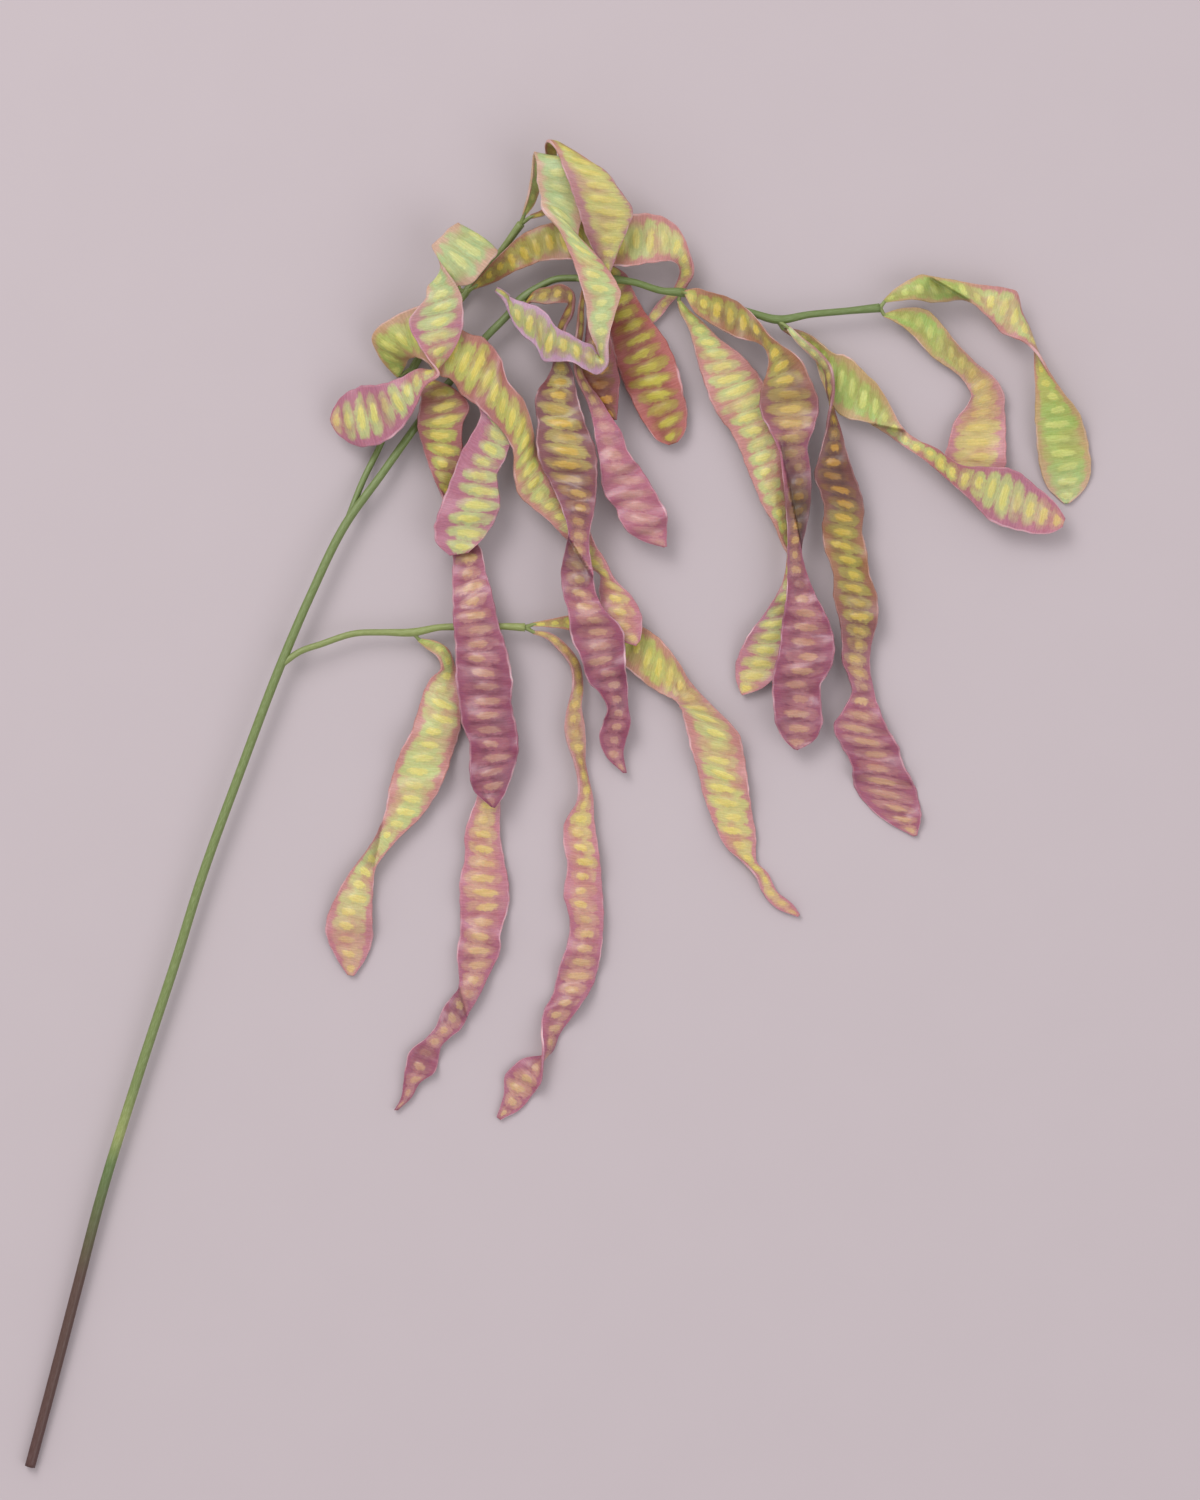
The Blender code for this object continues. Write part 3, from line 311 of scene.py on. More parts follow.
PODS["pod_right_drop"] = Pod([
    (787, 330, 790, 326, 11.5), (797, 343, 803, 338, 12.5, -1), (812, 357, 818, 351, 13, -2),
    (824, 370, 830, 366, 13.5, -3), (827, 391, 834, 390, 13.5, -4), (834, 411, 829, 412, 13.5, -7),
    (841, 430, 826, 430, 12.5, -4), (847, 452, 819, 456, 11.5, -1), (855, 475, 814, 475, 11),
    (862, 493, 820, 493, 10.5), (865, 510, 824, 508, 10), (863, 528, 822, 527, 9.5), (867, 548, 824, 546, 9),
    (870, 572, 833, 572, 8.5), (879, 600, 834, 600, 8), (878, 622, 840, 622, 7.5),
    (874, 640, 842, 640, 7, -1), (871, 660, 842, 660, 6.5, -3), (872, 680, 849, 678, 6.5, -4),
    (876, 692, 853, 692, 6, -3), (880, 706, 845, 707, 5.5, -1), (889, 728, 834, 725, 5),
    (900, 746, 842, 746, 4.2), (906, 765, 852, 765, 3.2), (917, 786, 854, 783, 2), (922, 806, 862, 799, 0.9),
    (923, 819, 884, 820, 0.6), (919, 836, 915, 837, 1.2),
], [(0, PALE_GREEN), (0.16, OLIVE_MAUVE), (0.24, UMBER), (0.34, UMBER), (0.42, OLIVE), (0.48, OLIVE),
    (0.6, OLIVE_MAUVE), (0.72, ROSE), (0.85, MAUVE), (1, ROSE)], slant=-0.25, bars=0.9)
PODS["pod_right_high"] = Pod([
    (887, 302, 884, 299, 9.5), (898, 301, 893, 290, 11), (916, 300, 908, 280, 12), (931, 303, 921, 274, 12),
    (948, 302, 937, 277, 12), (962, 300, 955, 280, 12), (973, 304, 970, 283, 12), (983, 313, 985, 285, 12),
    (993, 323, 1001, 287, 12), (1001, 332, 1016, 291, 11.5), (1017, 340, 1024, 311, 11, 3),
    (1027, 345, 1032, 332, 10.5, 6), (1037, 354, 1036, 350, 10, 7), (1049, 371, 1036, 372, 9, 4),
    (1064, 391, 1036, 393, 8, 2), (1079, 409, 1036, 415, 6.5), (1088, 430, 1037, 430, 4.8),
    (1092, 448, 1039, 451, 3.2), (1094, 467, 1043, 471, 1.5), (1091, 481, 1049, 485, 0.9),
    (1082, 494, 1058, 495, 0.7), (1072, 502, 1066, 502, 1.1),
], [(0.22, LIME), (0.32, PEACH_GREEN), (0.5, PEACH_GREEN), (0.6, GREEN_GOLD), (0.7, LIME), (0.85, LIME),
    (1, PALE_GREEN)], slant=0.1, bars=0.6, fold=((931, 277), (970, 300)))
PODS["pod_right_low"] = Pod([
    (886, 312, 884, 316, 8), (898, 308, 893, 320, 7.5), (915, 306, 908, 330, 7), (929, 309, 922, 344, 6.5),
    (941, 320, 936, 358, 6), (952, 334, 950, 367, 5.5, 2), (965, 349, 961, 375, 5.5, 3),
    (979, 363, 968, 384, 5, 3), (994, 374, 972, 395, 5), (1005, 390, 966, 407, 5),
    (1007, 410, 956, 419, 4.5), (1008, 428, 950, 438, 4.5), (1008, 447, 946, 452, 4.5),
    (1006, 467, 943, 466, 4.5), (992, 484, 955, 480, 4.5), (976, 492, 972, 491, 4),
], [(0.25, LIME), (0.5, TAN), (0.75, PINK_YELLOW)], slant=-0.2, bars=0.65, seeds=0.65)
PODS["pod_low_left"] = Pod([
    (417, 641, 421, 638, 6), (425, 648, 434, 640, 5.5), (438, 658, 448, 650, 5, 3),
    (440, 670, 454, 668, 5, 4), (431, 677, 457, 683, 5, 1), (424, 688, 459, 699, 5), (418, 707, 461, 718, 5),
    (411, 729, 459, 735, 5), (400, 751, 452, 755, 5), (392, 773, 445, 777, 5), (387, 793, 435, 797, 5),
    (384, 812, 420, 818, 5), (378, 828, 402, 835, 5), (371, 842, 386, 853, 5), (362, 855, 376, 867, 4.8),
    (347, 875, 373, 885, 4.2), (334, 898, 372, 903, 3.8), (325, 920, 372, 924, 3.2),
    (326, 941, 371, 945, 2.6), (336, 961, 363, 963, 2), (346, 976, 353, 977, 1.6),
], [(0, LIME), (0.12, PEACH_GREEN), (0.7, PEACH_GREEN), (1, PINK)], slant=0.1, bars=0.6,
    fold=((383, 818), (373, 868)), shade=0.5)
PODS["pod_low_middle"] = Pod([
    (476, 637, 481, 637, 4.2), (478, 680, 487, 680, 4, 2), (482, 740, 492, 740, 4, 2),
    (479, 780, 496, 780, 4, 1), (476, 798, 500, 800, 4), (469, 816, 500, 818, 4), (464, 834, 500, 836, 4),
    (464, 856, 504, 858, 3.5), (459, 880, 508, 880, 3.5), (459, 907, 509, 905, 3.5),
    (459, 932, 501, 934, 3.5), (456, 954, 500, 952, 3.5), (458, 974, 490, 974, 3.5),
    (457, 990, 479, 997, 3.5), (449, 1000, 469, 1014, 3.4), (441, 1011, 461, 1030, 3.3),
    (435, 1027, 452, 1037, 3), (424, 1040, 441, 1048, 2.8), (409, 1052, 438, 1061, 2.5),
    (404, 1070, 434, 1074, 2.2), (402, 1086, 419, 1085, 2), (400, 1099, 411, 1099, 1.6),
    (393, 1112, 397, 1112, 1.4),
], [(0, TAN), (0.25, PINK_YELLOW), (0.5, PINK), (0.65, ROSE), (1, MAUVE)], fold=((458, 985), (467, 1020)),
    shade=0.4)
PODS["pod_low_centre"] = Pod([
    (533, 634, 535, 630, 7), (545, 638, 549, 632, 6.5), (558, 650, 564, 642, 6, 1),
    (570, 666, 579, 662, 6, 3), (572, 688, 583, 686, 6, 3), (566, 711, 582, 708, 6), (564, 728, 585, 725, 6),
    (567, 744, 586, 743, 6, 2), (574, 762, 585, 762, 5.5, 4), (578, 779, 588, 779, 5.5, 4),
    (577, 799, 593, 797, 5.5, 2), (564, 824, 595, 824, 5), (563, 843, 598, 843, 5), (567, 867, 601, 868, 5),
    (563, 893, 603, 893, 4.5), (569, 919, 604, 919, 4.5), (568, 939, 603, 940, 4), (559, 967, 599, 967, 3.5),
    (552, 995, 590, 993, 3.5), (543, 1013, 575, 1014, 3.5, 1), (541, 1035, 560, 1035, 3.5, 5),
    (542, 1056, 548, 1056, 4, 7), (542, 1082, 523, 1060, 3.5, 4), (535, 1093, 505, 1076, 2.2),
    (522, 1110, 503, 1096, 1.2), (500, 1122, 496, 1119, 1.2),
], [(0.25, TAN), (0.4, PINK_YELLOW), (0.55, PINK), (0.68, ROSE)])
PODS["pod_low_right"] = Pod([
    (533, 622, 533, 626, 7), (548, 619, 548, 627, 7), (567, 615, 568, 630, 6.5), (590, 610, 590, 641, 6),
    (615, 612, 612, 655, 5.5), (643, 626, 629, 670, 5.5), (657, 635, 643, 682, 5.5), (669, 648, 658, 692, 6),
    (682, 666, 668, 697, 6.5), (692, 683, 674, 700, 7.5), (707, 699, 677, 703, 8.2),
    (724, 716, 679, 706, 8.6), (738, 731, 682, 712, 8), (743, 744, 685, 726, 6.5), (746, 760, 690, 746, 5),
    (749, 783, 697, 768, 4.5), (752, 806, 704, 797, 4), (757, 835, 716, 828, 3.5),
    (757, 855, 730, 852, 3, -1), (758, 864, 745, 864, 3, -3), (768, 874, 756, 876, 3, -3),
    (778, 892, 763, 893, 2.5, -1), (793, 904, 777, 909, 2), (801, 915, 799, 918, 1.6),
], [(0.3, GREEN_GOLD), (0.42, TAN), (0.5, PEACH_GREEN), (0.85, PINK_YELLOW), (1, PINK)], bars=0.7)

# Each stem's points and diameter, and its hues: shares of its length, and the places in STEM_HUES there
STEMS = (
    (MAIN_STEM, FOOT_DIAMETER, ((0, 0.12, 0.19, 0.24, 1), (1, 0.97, 0.55, 0.15, 0.08))),
    (UPPER_SIDE_STEM, SIDE_DIAMETER, ((0, 1), (0.1, 0.25))),
    (LOWER_SIDE_STEM, SIDE_DIAMETER, ((0, 1), (0.25, 0.4))),
)
STEM_GREEN, STEM_YELLOW, STEM_BROWN = (84, 106, 50), (132, 142, 76), (74, 42, 38)
STEM_HUES = ((0, STEM_GREEN), (0.4, STEM_YELLOW), (0.55, STEM_GREEN), (1, STEM_BROWN))
STEM_SPECKS = (120, 92, 62)
# the rims' own pale pink, also lightened as a painted highlight along them
RIM_TINT_AND_HIGHLIGHT = (226, 190, 196)
FLOOR_COLOUR, FLOOR_GRAIN = (184, 173, 177), (186, 175, 179)

# The pattern on a pod, across in half widths and along in seeds. Luck, from 0 to 1, is a seed's own.
SEED_HALF, SEED_LUCK, SEED_REACH, SEED_POWER = 0.33, 0.24, 0.27, 2.2
LOBE_HALF, LOBE_LUCK, LOBE_REACH, LOBE_SIDES, LOBE_ENDS = 0.72, 0.16, 0.42, 4.5, 2.4
SEED_ASIDE = 0.24
STRAY_ACROSS, STRAY_ALONG = 0.3, 0.32
BARS_AT_MIDDLE, BARS_OUTWARD = 0.8, 0.25  # a bar's strength at the middle line, and what the rims add
LEAST_BARS = 0.64
OFFSET_STEP = 13.7  # seeds from one pod's pattern to the next one's

FOLD_SHADE_CURVE = 0.4  # below 1 keeps the shade deep away from the folded edge
SKIN_BUMP, STEM_BUMP = 0.28 * MM, 0.3 * MM
FLESH, FLESH_DEPTH = 0.15, 1.5 * MM  # how much light spreads under the skin, and how far

# Each lamp's name, place, size in metres, watts and colour
LAMPS = (
    ("key", (-1.5, 1.7, 3.2), 2.0, 44, (1.0, 0.985, 0.97)),
    ("fill", (2.4, -1.2, 3.2), 3.0, 40, (0.97, 0.98, 1.0)),
    ("glint", (-1.0, 1.8, 2.0), 1.3, 20, (1.0, 1.0, 1.0)),
)
WORLD_COLOUR, WORLD_STRENGTH = (1.0, 0.98, 0.99, 1), 0.68
LENS, SENSOR = 120.0, 36.0
SEEN_HEIGHT = 12 * MM  # where one pixel of the photograph is exactly PIXEL
FLOOR_SIZE, FLOOR_DROP = 8, 0.2 * MM


def linear(colour):
    """A 0 to 255 colour as the eye reads it, as a shader takes it."""
    share = np.array(colour) / 255
    return (*np.where(share <= 0.04045, share / 12.92, ((share + 0.055) / 1.055) ** 2.4).tolist(), 1.0)


def place(x, y, height):
    """A traced point, in photo pixels and mm, as metres, before the shift into the frame."""
    return np.array([x * PIXEL, (PHOTO_HEIGHT - y) * PIXEL, height * MM])


def through(knots, points, where):
    """A smooth curve through points at knots, read at each value in where."""
    slope = np.gradient(points, knots, axis=0)
    i = np.clip(np.searchsorted(knots, where, side="right") - 1, 0, len(knots) - 2)
    step = (knots[i + 1] - knots[i])[:, None]
    s = (where - knots[i])[:, None] / step
    return (
        (2 * s**3 - 3 * s**2 + 1) * points[i]
        + (s**3 - 2 * s**2 + s) * step * slope[i]
        + (3 * s**2 - 2 * s**3) * points[i + 1]
        + (s**3 - s**2) * step * slope[i + 1]
    )


def lengths_along(points):
    return np.concatenate([[0], np.cumsum(np.linalg.norm(np.diff(points, axis=0), axis=1))])


def row_lengths(vectors):
    return np.linalg.norm(vectors, axis=1)[:, None]


def both_rims(ax, ay, bx, by, z, rise=0):
    """A station's points on the two rims, one after the other."""
    return np.concatenate([place(ax, ay, z + rise / 2), place(bx, by, z - rise / 2)])


def pod_rows(stations, pitch, rows_per_seed):
    """Both rims of a pod, row by row, and how far along its seeds each row is."""
    rims = np.array([both_rims(*station) for station in stations])
    knots = lengths_along((rims[:, :3] + rims[:, 3:]) / 2)
    seeds = round(knots[-1] / pitch)
    along = np.linspace(0, seeds, seeds * rows_per_seed + 1)
    rows = through(knots, rims, along / seeds * knots[-1])
    middle = (rows[:, :3] + rows[:, 3:]) / 2
    across = rows[:, :3] - rows[:, 3:]
    width = row_lengths(across)
    across /= width
    width = np.maximum(width, NARROWEST)
    return middle + across * width / 2, middle - across * width / 2, along


def pod_frame(first, second):
    """The middle, the vector across, the width and the facing of each row."""
    middle = (first + second) / 2
    across = first - second
    facing = np.cross(across, np.gradient(middle, axis=0))
    return middle, across, row_lengths(across), facing / row_lengths(facing)


def seeded_share(width):
    return np.clip((width - PLAIN_WIDTH) / (SEEDED_WIDTH - PLAIN_WIDTH), 0, 1)


def solid_points(stations):
    """The points of a pod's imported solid, which tell how far the frame is shifted."""
    first, second, along = pod_rows(stations, SOLID_SEED_PITCH, SOLID_ROWS_PER_SEED)
    middle, across, width, facing = pod_frame(first, second)
    u = np.array(SOLID_COLUMNS)[None, :]
    on_seed = (0.5 - 0.5 * np.cos(2 * np.pi * along))[:, None]
    inside = np.clip((1 - np.abs(u)) / (1 - SEED_BAND), 0, 1)
    wall = RIM_THICKNESS + inside * (
        WALL_THICKNESS - RIM_THICKNESS + SEED_THICKNESS * seeded_share(width) * on_seed
    )
    centre = middle[:, None] + across[:, None] * u[..., None] / 2
    centre = centre + facing[:, None] * (CUPPING * width * (1 - u**2))[..., None]
    half = facing[:, None] * wall[..., None] / 2
    both = np.concatenate([centre + half, centre - half]).reshape(-1, 3)
    return np.maximum(both, [-np.inf, -np.inf, 0])


def slow_waves(along, pace, draw, number):
    """A smooth wander between about -1 and 1, one value a row."""
    phases = np.random.default_rng(draw + number).uniform(0, 2 * np.pi, len(WANDER_PERIODS))
    waves = (np.sin(2 * np.pi * (along * pace) / p + phase) for p, phase in zip(WANDER_PERIODS, phases))
    return sum(waves)[:, None] / WANDER_PEAK


def fine_columns():
    """Places across a pod, close together at its rims."""
    edge = 1 - EDGE_CORD * np.array([0.0, 0.12, 0.4, 1.0, 1.6, 2.0, 2.6])
    inner = np.linspace(-edge[-1], edge[-1], INNER_COLUMNS)[1:-1]
    return np.concatenate([-edge, inner, edge[::-1]])


def crinkles(across, along, number):
    """Soft folds across a drying pod, in mm."""
    draw = np.random.default_rng(CRINKLE_DRAW + number)
    height = 0.0
    for length, depth in CRINKLES:
        turn = draw.uniform(-CRINKLE_TURN, CRINKLE_TURN)
        phase, drift = draw.uniform(0, 2 * np.pi, 2)
        bend = np.sin(along / (2.9 * length) + drift) + 0.6 * np.sin(across / (1.1 * length) + 2 * drift)
        wave = np.sin(2 * np.pi * (along * np.cos(turn) + across * np.sin(turn)) / length + phase + bend)
        fade = 0.6 + 0.4 * np.sin(along / (4.3 * length) + across / (2.1 * length) + phase)
        height = height + depth * fade * wave
    return height


def beside_fold(points, fold):
    """How far each point is tucked under a folded edge, and how far it is lifted on top of it."""
    start, end = (place(*ends, 0)[:2] for ends in fold)
    length = np.linalg.norm(end - start)
    forward = (end - start) / length
    offset = points[..., :2] - start
    along = offset @ forward / length
    aside = offset @ np.array([forward[1], -forward[0]])
    near = np.clip(FOLD_FADE * (along + FOLD_BEYOND), 0, 1)
    near = near * np.clip(FOLD_FADE * (1 + FOLD_BEYOND - along), 0, 1)
    under = near * np.clip(aside / FOLD_EDGE, 0, 1) * np.exp(-np.maximum(aside, 0) / FOLD_REACH)
    over = near * (aside <= 0) * np.exp(np.minimum(aside, 0) / FOLD_REACH)
    return under, over


def how_crinkled(pod, share):
    return np.interp(share, [at for at, _ in pod.skins], [skin[CRINKLED] for _, skin in pod.skins])


def fine_wall(edge, u, cell, seeded):
    """How thick a fine pod is: seeds, valleys between them, and a cord along each rim."""
    seed = np.clip(1 - (u / SEED_BAND) ** 2 - (cell / SEED_LENGTH) ** 2, 0, 1)
    valley = np.exp(-(((cell + 1) % 1 - 0.5) / VALLEY_LENGTH) ** 2) * np.clip(1.2 - 1.6 * edge, 0, 1)
    wall = WALL_THICKNESS - RIM_THINNING * edge + seeded * (FINE_SEED_THICKNESS * seed - VALLEY * valley)
    to_cord = (edge - (1 - EDGE_CORD)) / EDGE_CORD
    cord = CORD_THICKNESS * np.sqrt(np.clip(1 - to_cord**2, 0.02, 1))
    wall = np.where(edge >= 1 - EDGE_CORD, cord, wall)
    beside = np.clip((to_cord + 1.6) / 0.8, 0, 1)
    return np.where(edge < 1 - EDGE_CORD, np.maximum(wall, cord * beside * (to_cord > -1)), wall)


def fine_lift(u, width, along, number, seeded, crinkled):
    """How far a fine pod's middle layer is raised: cupped, rolled, wavy at its rims, and crinkled."""
    first_rim, second_rim = (slow_waves(along, 1, rim, 2 * number) for rim in (0, 1))
    cup = CUPPING * (1 + CUP_CHANGE * slow_waves(along, *CUP_WANDER, number))
    wave = RIM_WAVE * seeded * np.where(u > 0, first_rim, second_rim)
    lift = cup * width * (1 - u**2) + wave * np.abs(u) ** 3
    lift = lift + ROLL * width * u * slow_waves(along, *ROLL_WANDER, number)
    folds = crinkles(u * width / 2 / MM, along[:, None] * SEED_PITCH / MM, number)
    return lift + crinkled * folds * MM


def fine_pod_points(pod, number):
    """The front and back points of a fine pod, with each point's place on the pod."""
    first, second, along = pod_rows(pod.stations, SEED_PITCH, ROWS_PER_SEED)
    middle, across, width, facing = pod_frame(first, second)
    seeded = seeded_share(width)
    share = along / along[-1]
    u = fine_columns()[None, :]
    drift = slow_waves(along, *SEED_WANDER, number)
    slanted = along[:, None] + seeded * (pod.slant * u + SEED_BOW * u**2 + SEED_DRIFT * drift * u)
    drift = slow_waves(along, *PATTERN_WANDER, number)
    pattern_u = u + seeded * PATTERN_DRIFT * drift * (1 - u**2)
    narrow = 1 + SCALLOP * (np.cos(2 * np.pi * along) - 1)[:, None] / 2
    narrow = narrow + seeded * NARROWING * slow_waves(along, *NARROWING_WANDER, 7 * number)
    flat = middle[:, None] + across[:, None] * (u * narrow)[..., None] / 2
    crinkled = seeded * how_crinkled(pod, share)[:, None]
    centre = flat + facing[:, None] * fine_lift(u, width, along, number, seeded, crinkled)[..., None]
    under = np.zeros(flat.shape[:2])
    if pod.fold:
        under, over = beside_fold(flat, pod.fold)
        centre[..., 2] += FOLD_STEP * (FOLD_LIFT * over - under)
    wall = fine_wall(np.abs(u), pattern_u, slanted % 1 - 0.5, seeded)
    half = facing[:, None] * wall[..., None] / 2
    where = np.stack(np.broadcast_arrays(pattern_u, slanted, share[:, None]), axis=-1)
    return centre + half, centre - half, where, under


def side_faces(rows, around):
    """The four-sided faces between rows of rings."""
    k = np.arange(around)
    n = (k + 1) % around
    here = (np.arange(rows - 1) * around)[:, None]
    quads = np.stack([here + k, here + n, here + around + n, here + around + k], axis=-1)
    return quads.reshape(-1, 4).tolist()


def flat_ends(rows, around):
    """Faces that close both ends of a flat pod, from its front to its back."""
    faces = []
    for end, turn in ((0, 1), ((rows - 1) * around, -1)):
        for i in range(around // 2 - 1):
            face = (end + i, end + around - 1 - i, end + around - 2 - i, end + i + 1)
            faces.append(face[::turn])
    return faces


def round_ends(rows, around):
    """A face over each end of a tube."""
    return [list(range(around))[::-1], list(range((rows - 1) * around, rows * around))]


def skin_mesh(name, tubes, end_faces):
    """One smooth mesh of tubes of rings, whose points carry their place on the piece."""
    points, faces = [], []
    for ring, _ in tubes:
        first = len(points)
        points += ring.reshape(-1, 3).tolist()
        shape = ring.shape[:2]
        faces += [[first + corner for corner in face] for face in side_faces(*shape) + end_faces(*shape)]
    mesh = bpy.data.meshes.new(name)
    mesh.from_pydata(points, [], faces)
    mesh.polygons.foreach_set("use_smooth", np.ones(len(faces), bool))
    where = np.concatenate([where.reshape(-1, 3) for _, where in tubes]).astype(np.float32)
    mesh.attributes.new("place_on_skin", "FLOAT_VECTOR", "POINT").data.foreach_set("vector", where.ravel())
    mesh.update()
    return mesh


def add_piece(name, mesh, material):
    piece = bpy.data.objects.new(name, mesh)
    mesh.materials.append(material)
    bpy.context.scene.collection.objects.link(piece)
    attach(piece, "root")
    return piece


def fine_pod(name, pod, number, shift, material):
    front, back, where, under = fine_pod_points(pod, number)
    ring = np.concatenate([front, back[:, ::-1]], axis=1) + shift
    sunk = np.minimum(np.minimum(ring[..., 2], ring[:, ::-1, 2]), 0)
    ring[..., 2] -= sunk
    where = np.concatenate([where, where[:, ::-1]], axis=1)
    mesh = skin_mesh(name + "_skin", [(ring, where)], flat_ends)
    covered = np.concatenate([under, under[:, ::-1]], axis=1).astype(np.float32)
    mesh.attributes.new("under_fold", "FLOAT", "POINT").data.foreach_set("value", covered.ravel())
    piece = add_piece(name + "_skin", mesh, material)
    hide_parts(name)


def tube_rings(points, radii, hue):
    """A ridged tube's rings, with each point's place: angle, length in mm, hue."""
    tangent = np.gradient(points, axis=0)
    tangent /= row_lengths(tangent)
    side = np.cross(tangent, [0, 0, 1.0])
    side /= row_lengths(side)
    up = np.cross(side, tangent)
    turn = np.linspace(0, 2 * np.pi, STEM_SIDES, endpoint=False)[None, :]
    radius = radii[:, None] * (1 + RIDGE_DEPTH * np.cos(RIDGES * turn))
    ring = points[:, None] + radius[..., None] * (
        side[:, None] * np.cos(turn)[..., None] + up[:, None] * np.sin(turn)[..., None]
    )
    length = lengths_along(points)[:, None] / MM
    return ring, np.stack(np.broadcast_arrays(turn, length, hue[:, None]), axis=-1)


def stem_rings(stem, diameter, hues, shift):
    """Rings of one stem, with a collar at each knot."""
    knots = np.array([place(x, y, z) for x, y, z, _ in stem]) + shift
    lengths = lengths_along(knots)
    at = np.linspace(0, lengths[-1], int(lengths[-1] / STEM_STEP))
    points = through(lengths, knots, at)
    radii = np.interp(at, lengths, [size for *_, size in stem]) * diameter / 2
    return tube_rings(points, radii, np.interp(at / lengths[-1], *hues))


def stalk_rings(stations, knots, shift):
    """A short stalk from the nearest knot of the stems into a pod's base."""
    ends = [(place(ax, ay, z) + place(bx, by, z)) / 2 for ax, ay, bx, by, z, *_ in stations[:2]]
    base, second = ends + shift
    knot = knots[np.argmin(np.linalg.norm(knots - base, axis=1))]
    of_knot, of_base = STALK_BEND
    control = np.array([knot, knot * of_knot + base * of_base, base, base + (second - base) * INTO_POD])
    lengths = lengths_along(control)
    at = np.linspace(0, lengths[-1], STALK_ROWS)
    points = through(lengths, control, at)
    radii = np.interp(at / lengths[-1], *STALK_TAPER) * STALK_DIAMETER / 2
    return tube_rings(points, radii, np.full(STALK_ROWS, STALK_HUE))


def fine_stem(shift, material):
    """The three stems and every pod's stalk as one skin."""
    tubes = [stem_rings(stem, diameter, hues, shift) for stem, diameter, hues in STEMS]
    knots = np.array([place(x, y, z) for stem, *_ in STEMS for x, y, z, _ in stem]) + shift
    tubes += [stalk_rings(pod.stations, knots, shift) for pod in PODS.values()]
    piece = add_piece("stem_skin", skin_mesh("stem_skin", tubes, round_ends), material)
    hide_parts("stem")


class Nodes:
    """Short calls that add nodes to a material or a node group."""

    def __init__(self, tree):
        self.tree = tree

    def add(self, kind, inputs=(), **settings):
        made = self.tree.nodes.new(kind)
        for name, value in settings.items():
            setattr(made, name, value)
        for socket, value in dict(inputs).items():
            self.set(made.inputs[socket], value)
        return made

    def set(self, socket, value):
        if isinstance(value, bpy.types.NodeSocket):
            self.tree.links.new(value, socket)
        else:
            socket.default_value = value

    def math(self, operation, *values):
        return self.add("ShaderNodeMath", enumerate(values), operation=operation).outputs[0]

    plus = partialmethod(math, "ADD")
    minus = partialmethod(math, "SUBTRACT")
    times = partialmethod(math, "MULTIPLY")
    size = partialmethod(math, "ABSOLUTE")

    def smooth(self, value, low, high):
        """0 below low and 1 above high, or the other way round, smoothly."""
        ends = {"Value": value, "From Min": low, "From Max": high}
        return self.add("ShaderNodeMapRange", ends, interpolation_type="SMOOTHSTEP").outputs["Result"]

    def mix(self, share, first, second):
        made = self.add("ShaderNodeMix", {0: share, 6: first, 7: second}, data_type="RGBA")
        return made.outputs[2]

    def scaled(self, vector, factors):
        made = self.add("ShaderNodeVectorMath", {0: vector, 1: factors}, operation="MULTIPLY")
        return made.outputs[0]

    def oval(self, u, half_u, power_u, v, half_v, power_v):
        """0 in the middle and 1 on the edge of an oval patch."""
        ends = self.math("POWER", self.size(self.math("DIVIDE", u, half_u)), power_u)
        sides = self.math("POWER", self.size(self.math("DIVIDE", v, half_v)), power_v)
        return self.plus(ends, sides)

    def toned(self, colour, value, saturation=1.0, hue=0.5):
        tones = {"Hue": hue, "Value": value, "Saturation": saturation, "Color": colour}
        return self.add("ShaderNodeHueSaturation", tones).outputs[0]

    def noise(self, vector, scale, detail=3.0):
        made = self.add("ShaderNodeTexNoise", {"Vector": vector, "Scale": scale, "Detail": detail})
        return made.outputs["Fac"]

    def ramp(self, share, stops):
        made = self.add("ShaderNodeValToRGB", {"Fac": share})
        elements = made.color_ramp.elements
        elements[0].position, elements[0].color = stops[0]
        elements[1].position, elements[1].color = stops[-1]
        for position, colour in stops[1:-1]:
            elements.new(position).color = colour
        return made.outputs["Color"]

    def finish(self, inputs):
        """Sets inputs of a material's shader by name."""
        for name, value in inputs.items():
            self.set(self.tree.nodes["Principled BSDF"].inputs[name], value)


def new_group(name, inputs, outputs):
    tree = bpy.data.node_groups.new(name, "ShaderNodeTree")
    for in_out, sockets in (("INPUT", inputs), ("OUTPUT", outputs)):
        for socket in sockets:
            tree.interface.new_socket(socket, in_out=in_out, socket_type="NodeSocketFloat")
    return Nodes(tree)


def seeds_and_lobes(n, given, u, s, patches):
    """An oval for each seed and for its lobe, parted by the bars, and how far the seed shows."""
    cell = n.minus(n.math("FRACT", s), 0.5)
    number = n.plus(n.math("FLOOR", s), given["Offset"])
    luck = n.add("ShaderNodeTexWhiteNoise", {"W": number}, noise_dimensions="1D").outputs["Value"]
    shown = n.smooth(n.noise(n.add("ShaderNodeCombineXYZ", {0: number}).outputs[0], 0.83, 1.0), 0.2, 0.6)
    aside = n.plus(u, n.times(n.minus(luck, 0.5), SEED_ASIDE))
    half = n.plus(SEED_HALF, n.times(luck, SEED_LUCK))
    seed = n.oval(aside, half, SEED_POWER, cell, SEED_REACH, SEED_POWER)
    outward = n.plus(BARS_AT_MIDDLE, n.times(n.smooth(n.size(u), 0.1, 0.7), BARS_OUTWARD))
    barring = n.times(given["Bars"], n.plus(patches, LEAST_BARS))
    barred = n.times(cell, n.times(barring, outward))
    half = n.plus(LOBE_HALF, n.times(luck, LOBE_LUCK))
    return seed, n.oval(u, half, LOBE_SIDES, barred, LOBE_REACH, LOBE_ENDS), shown


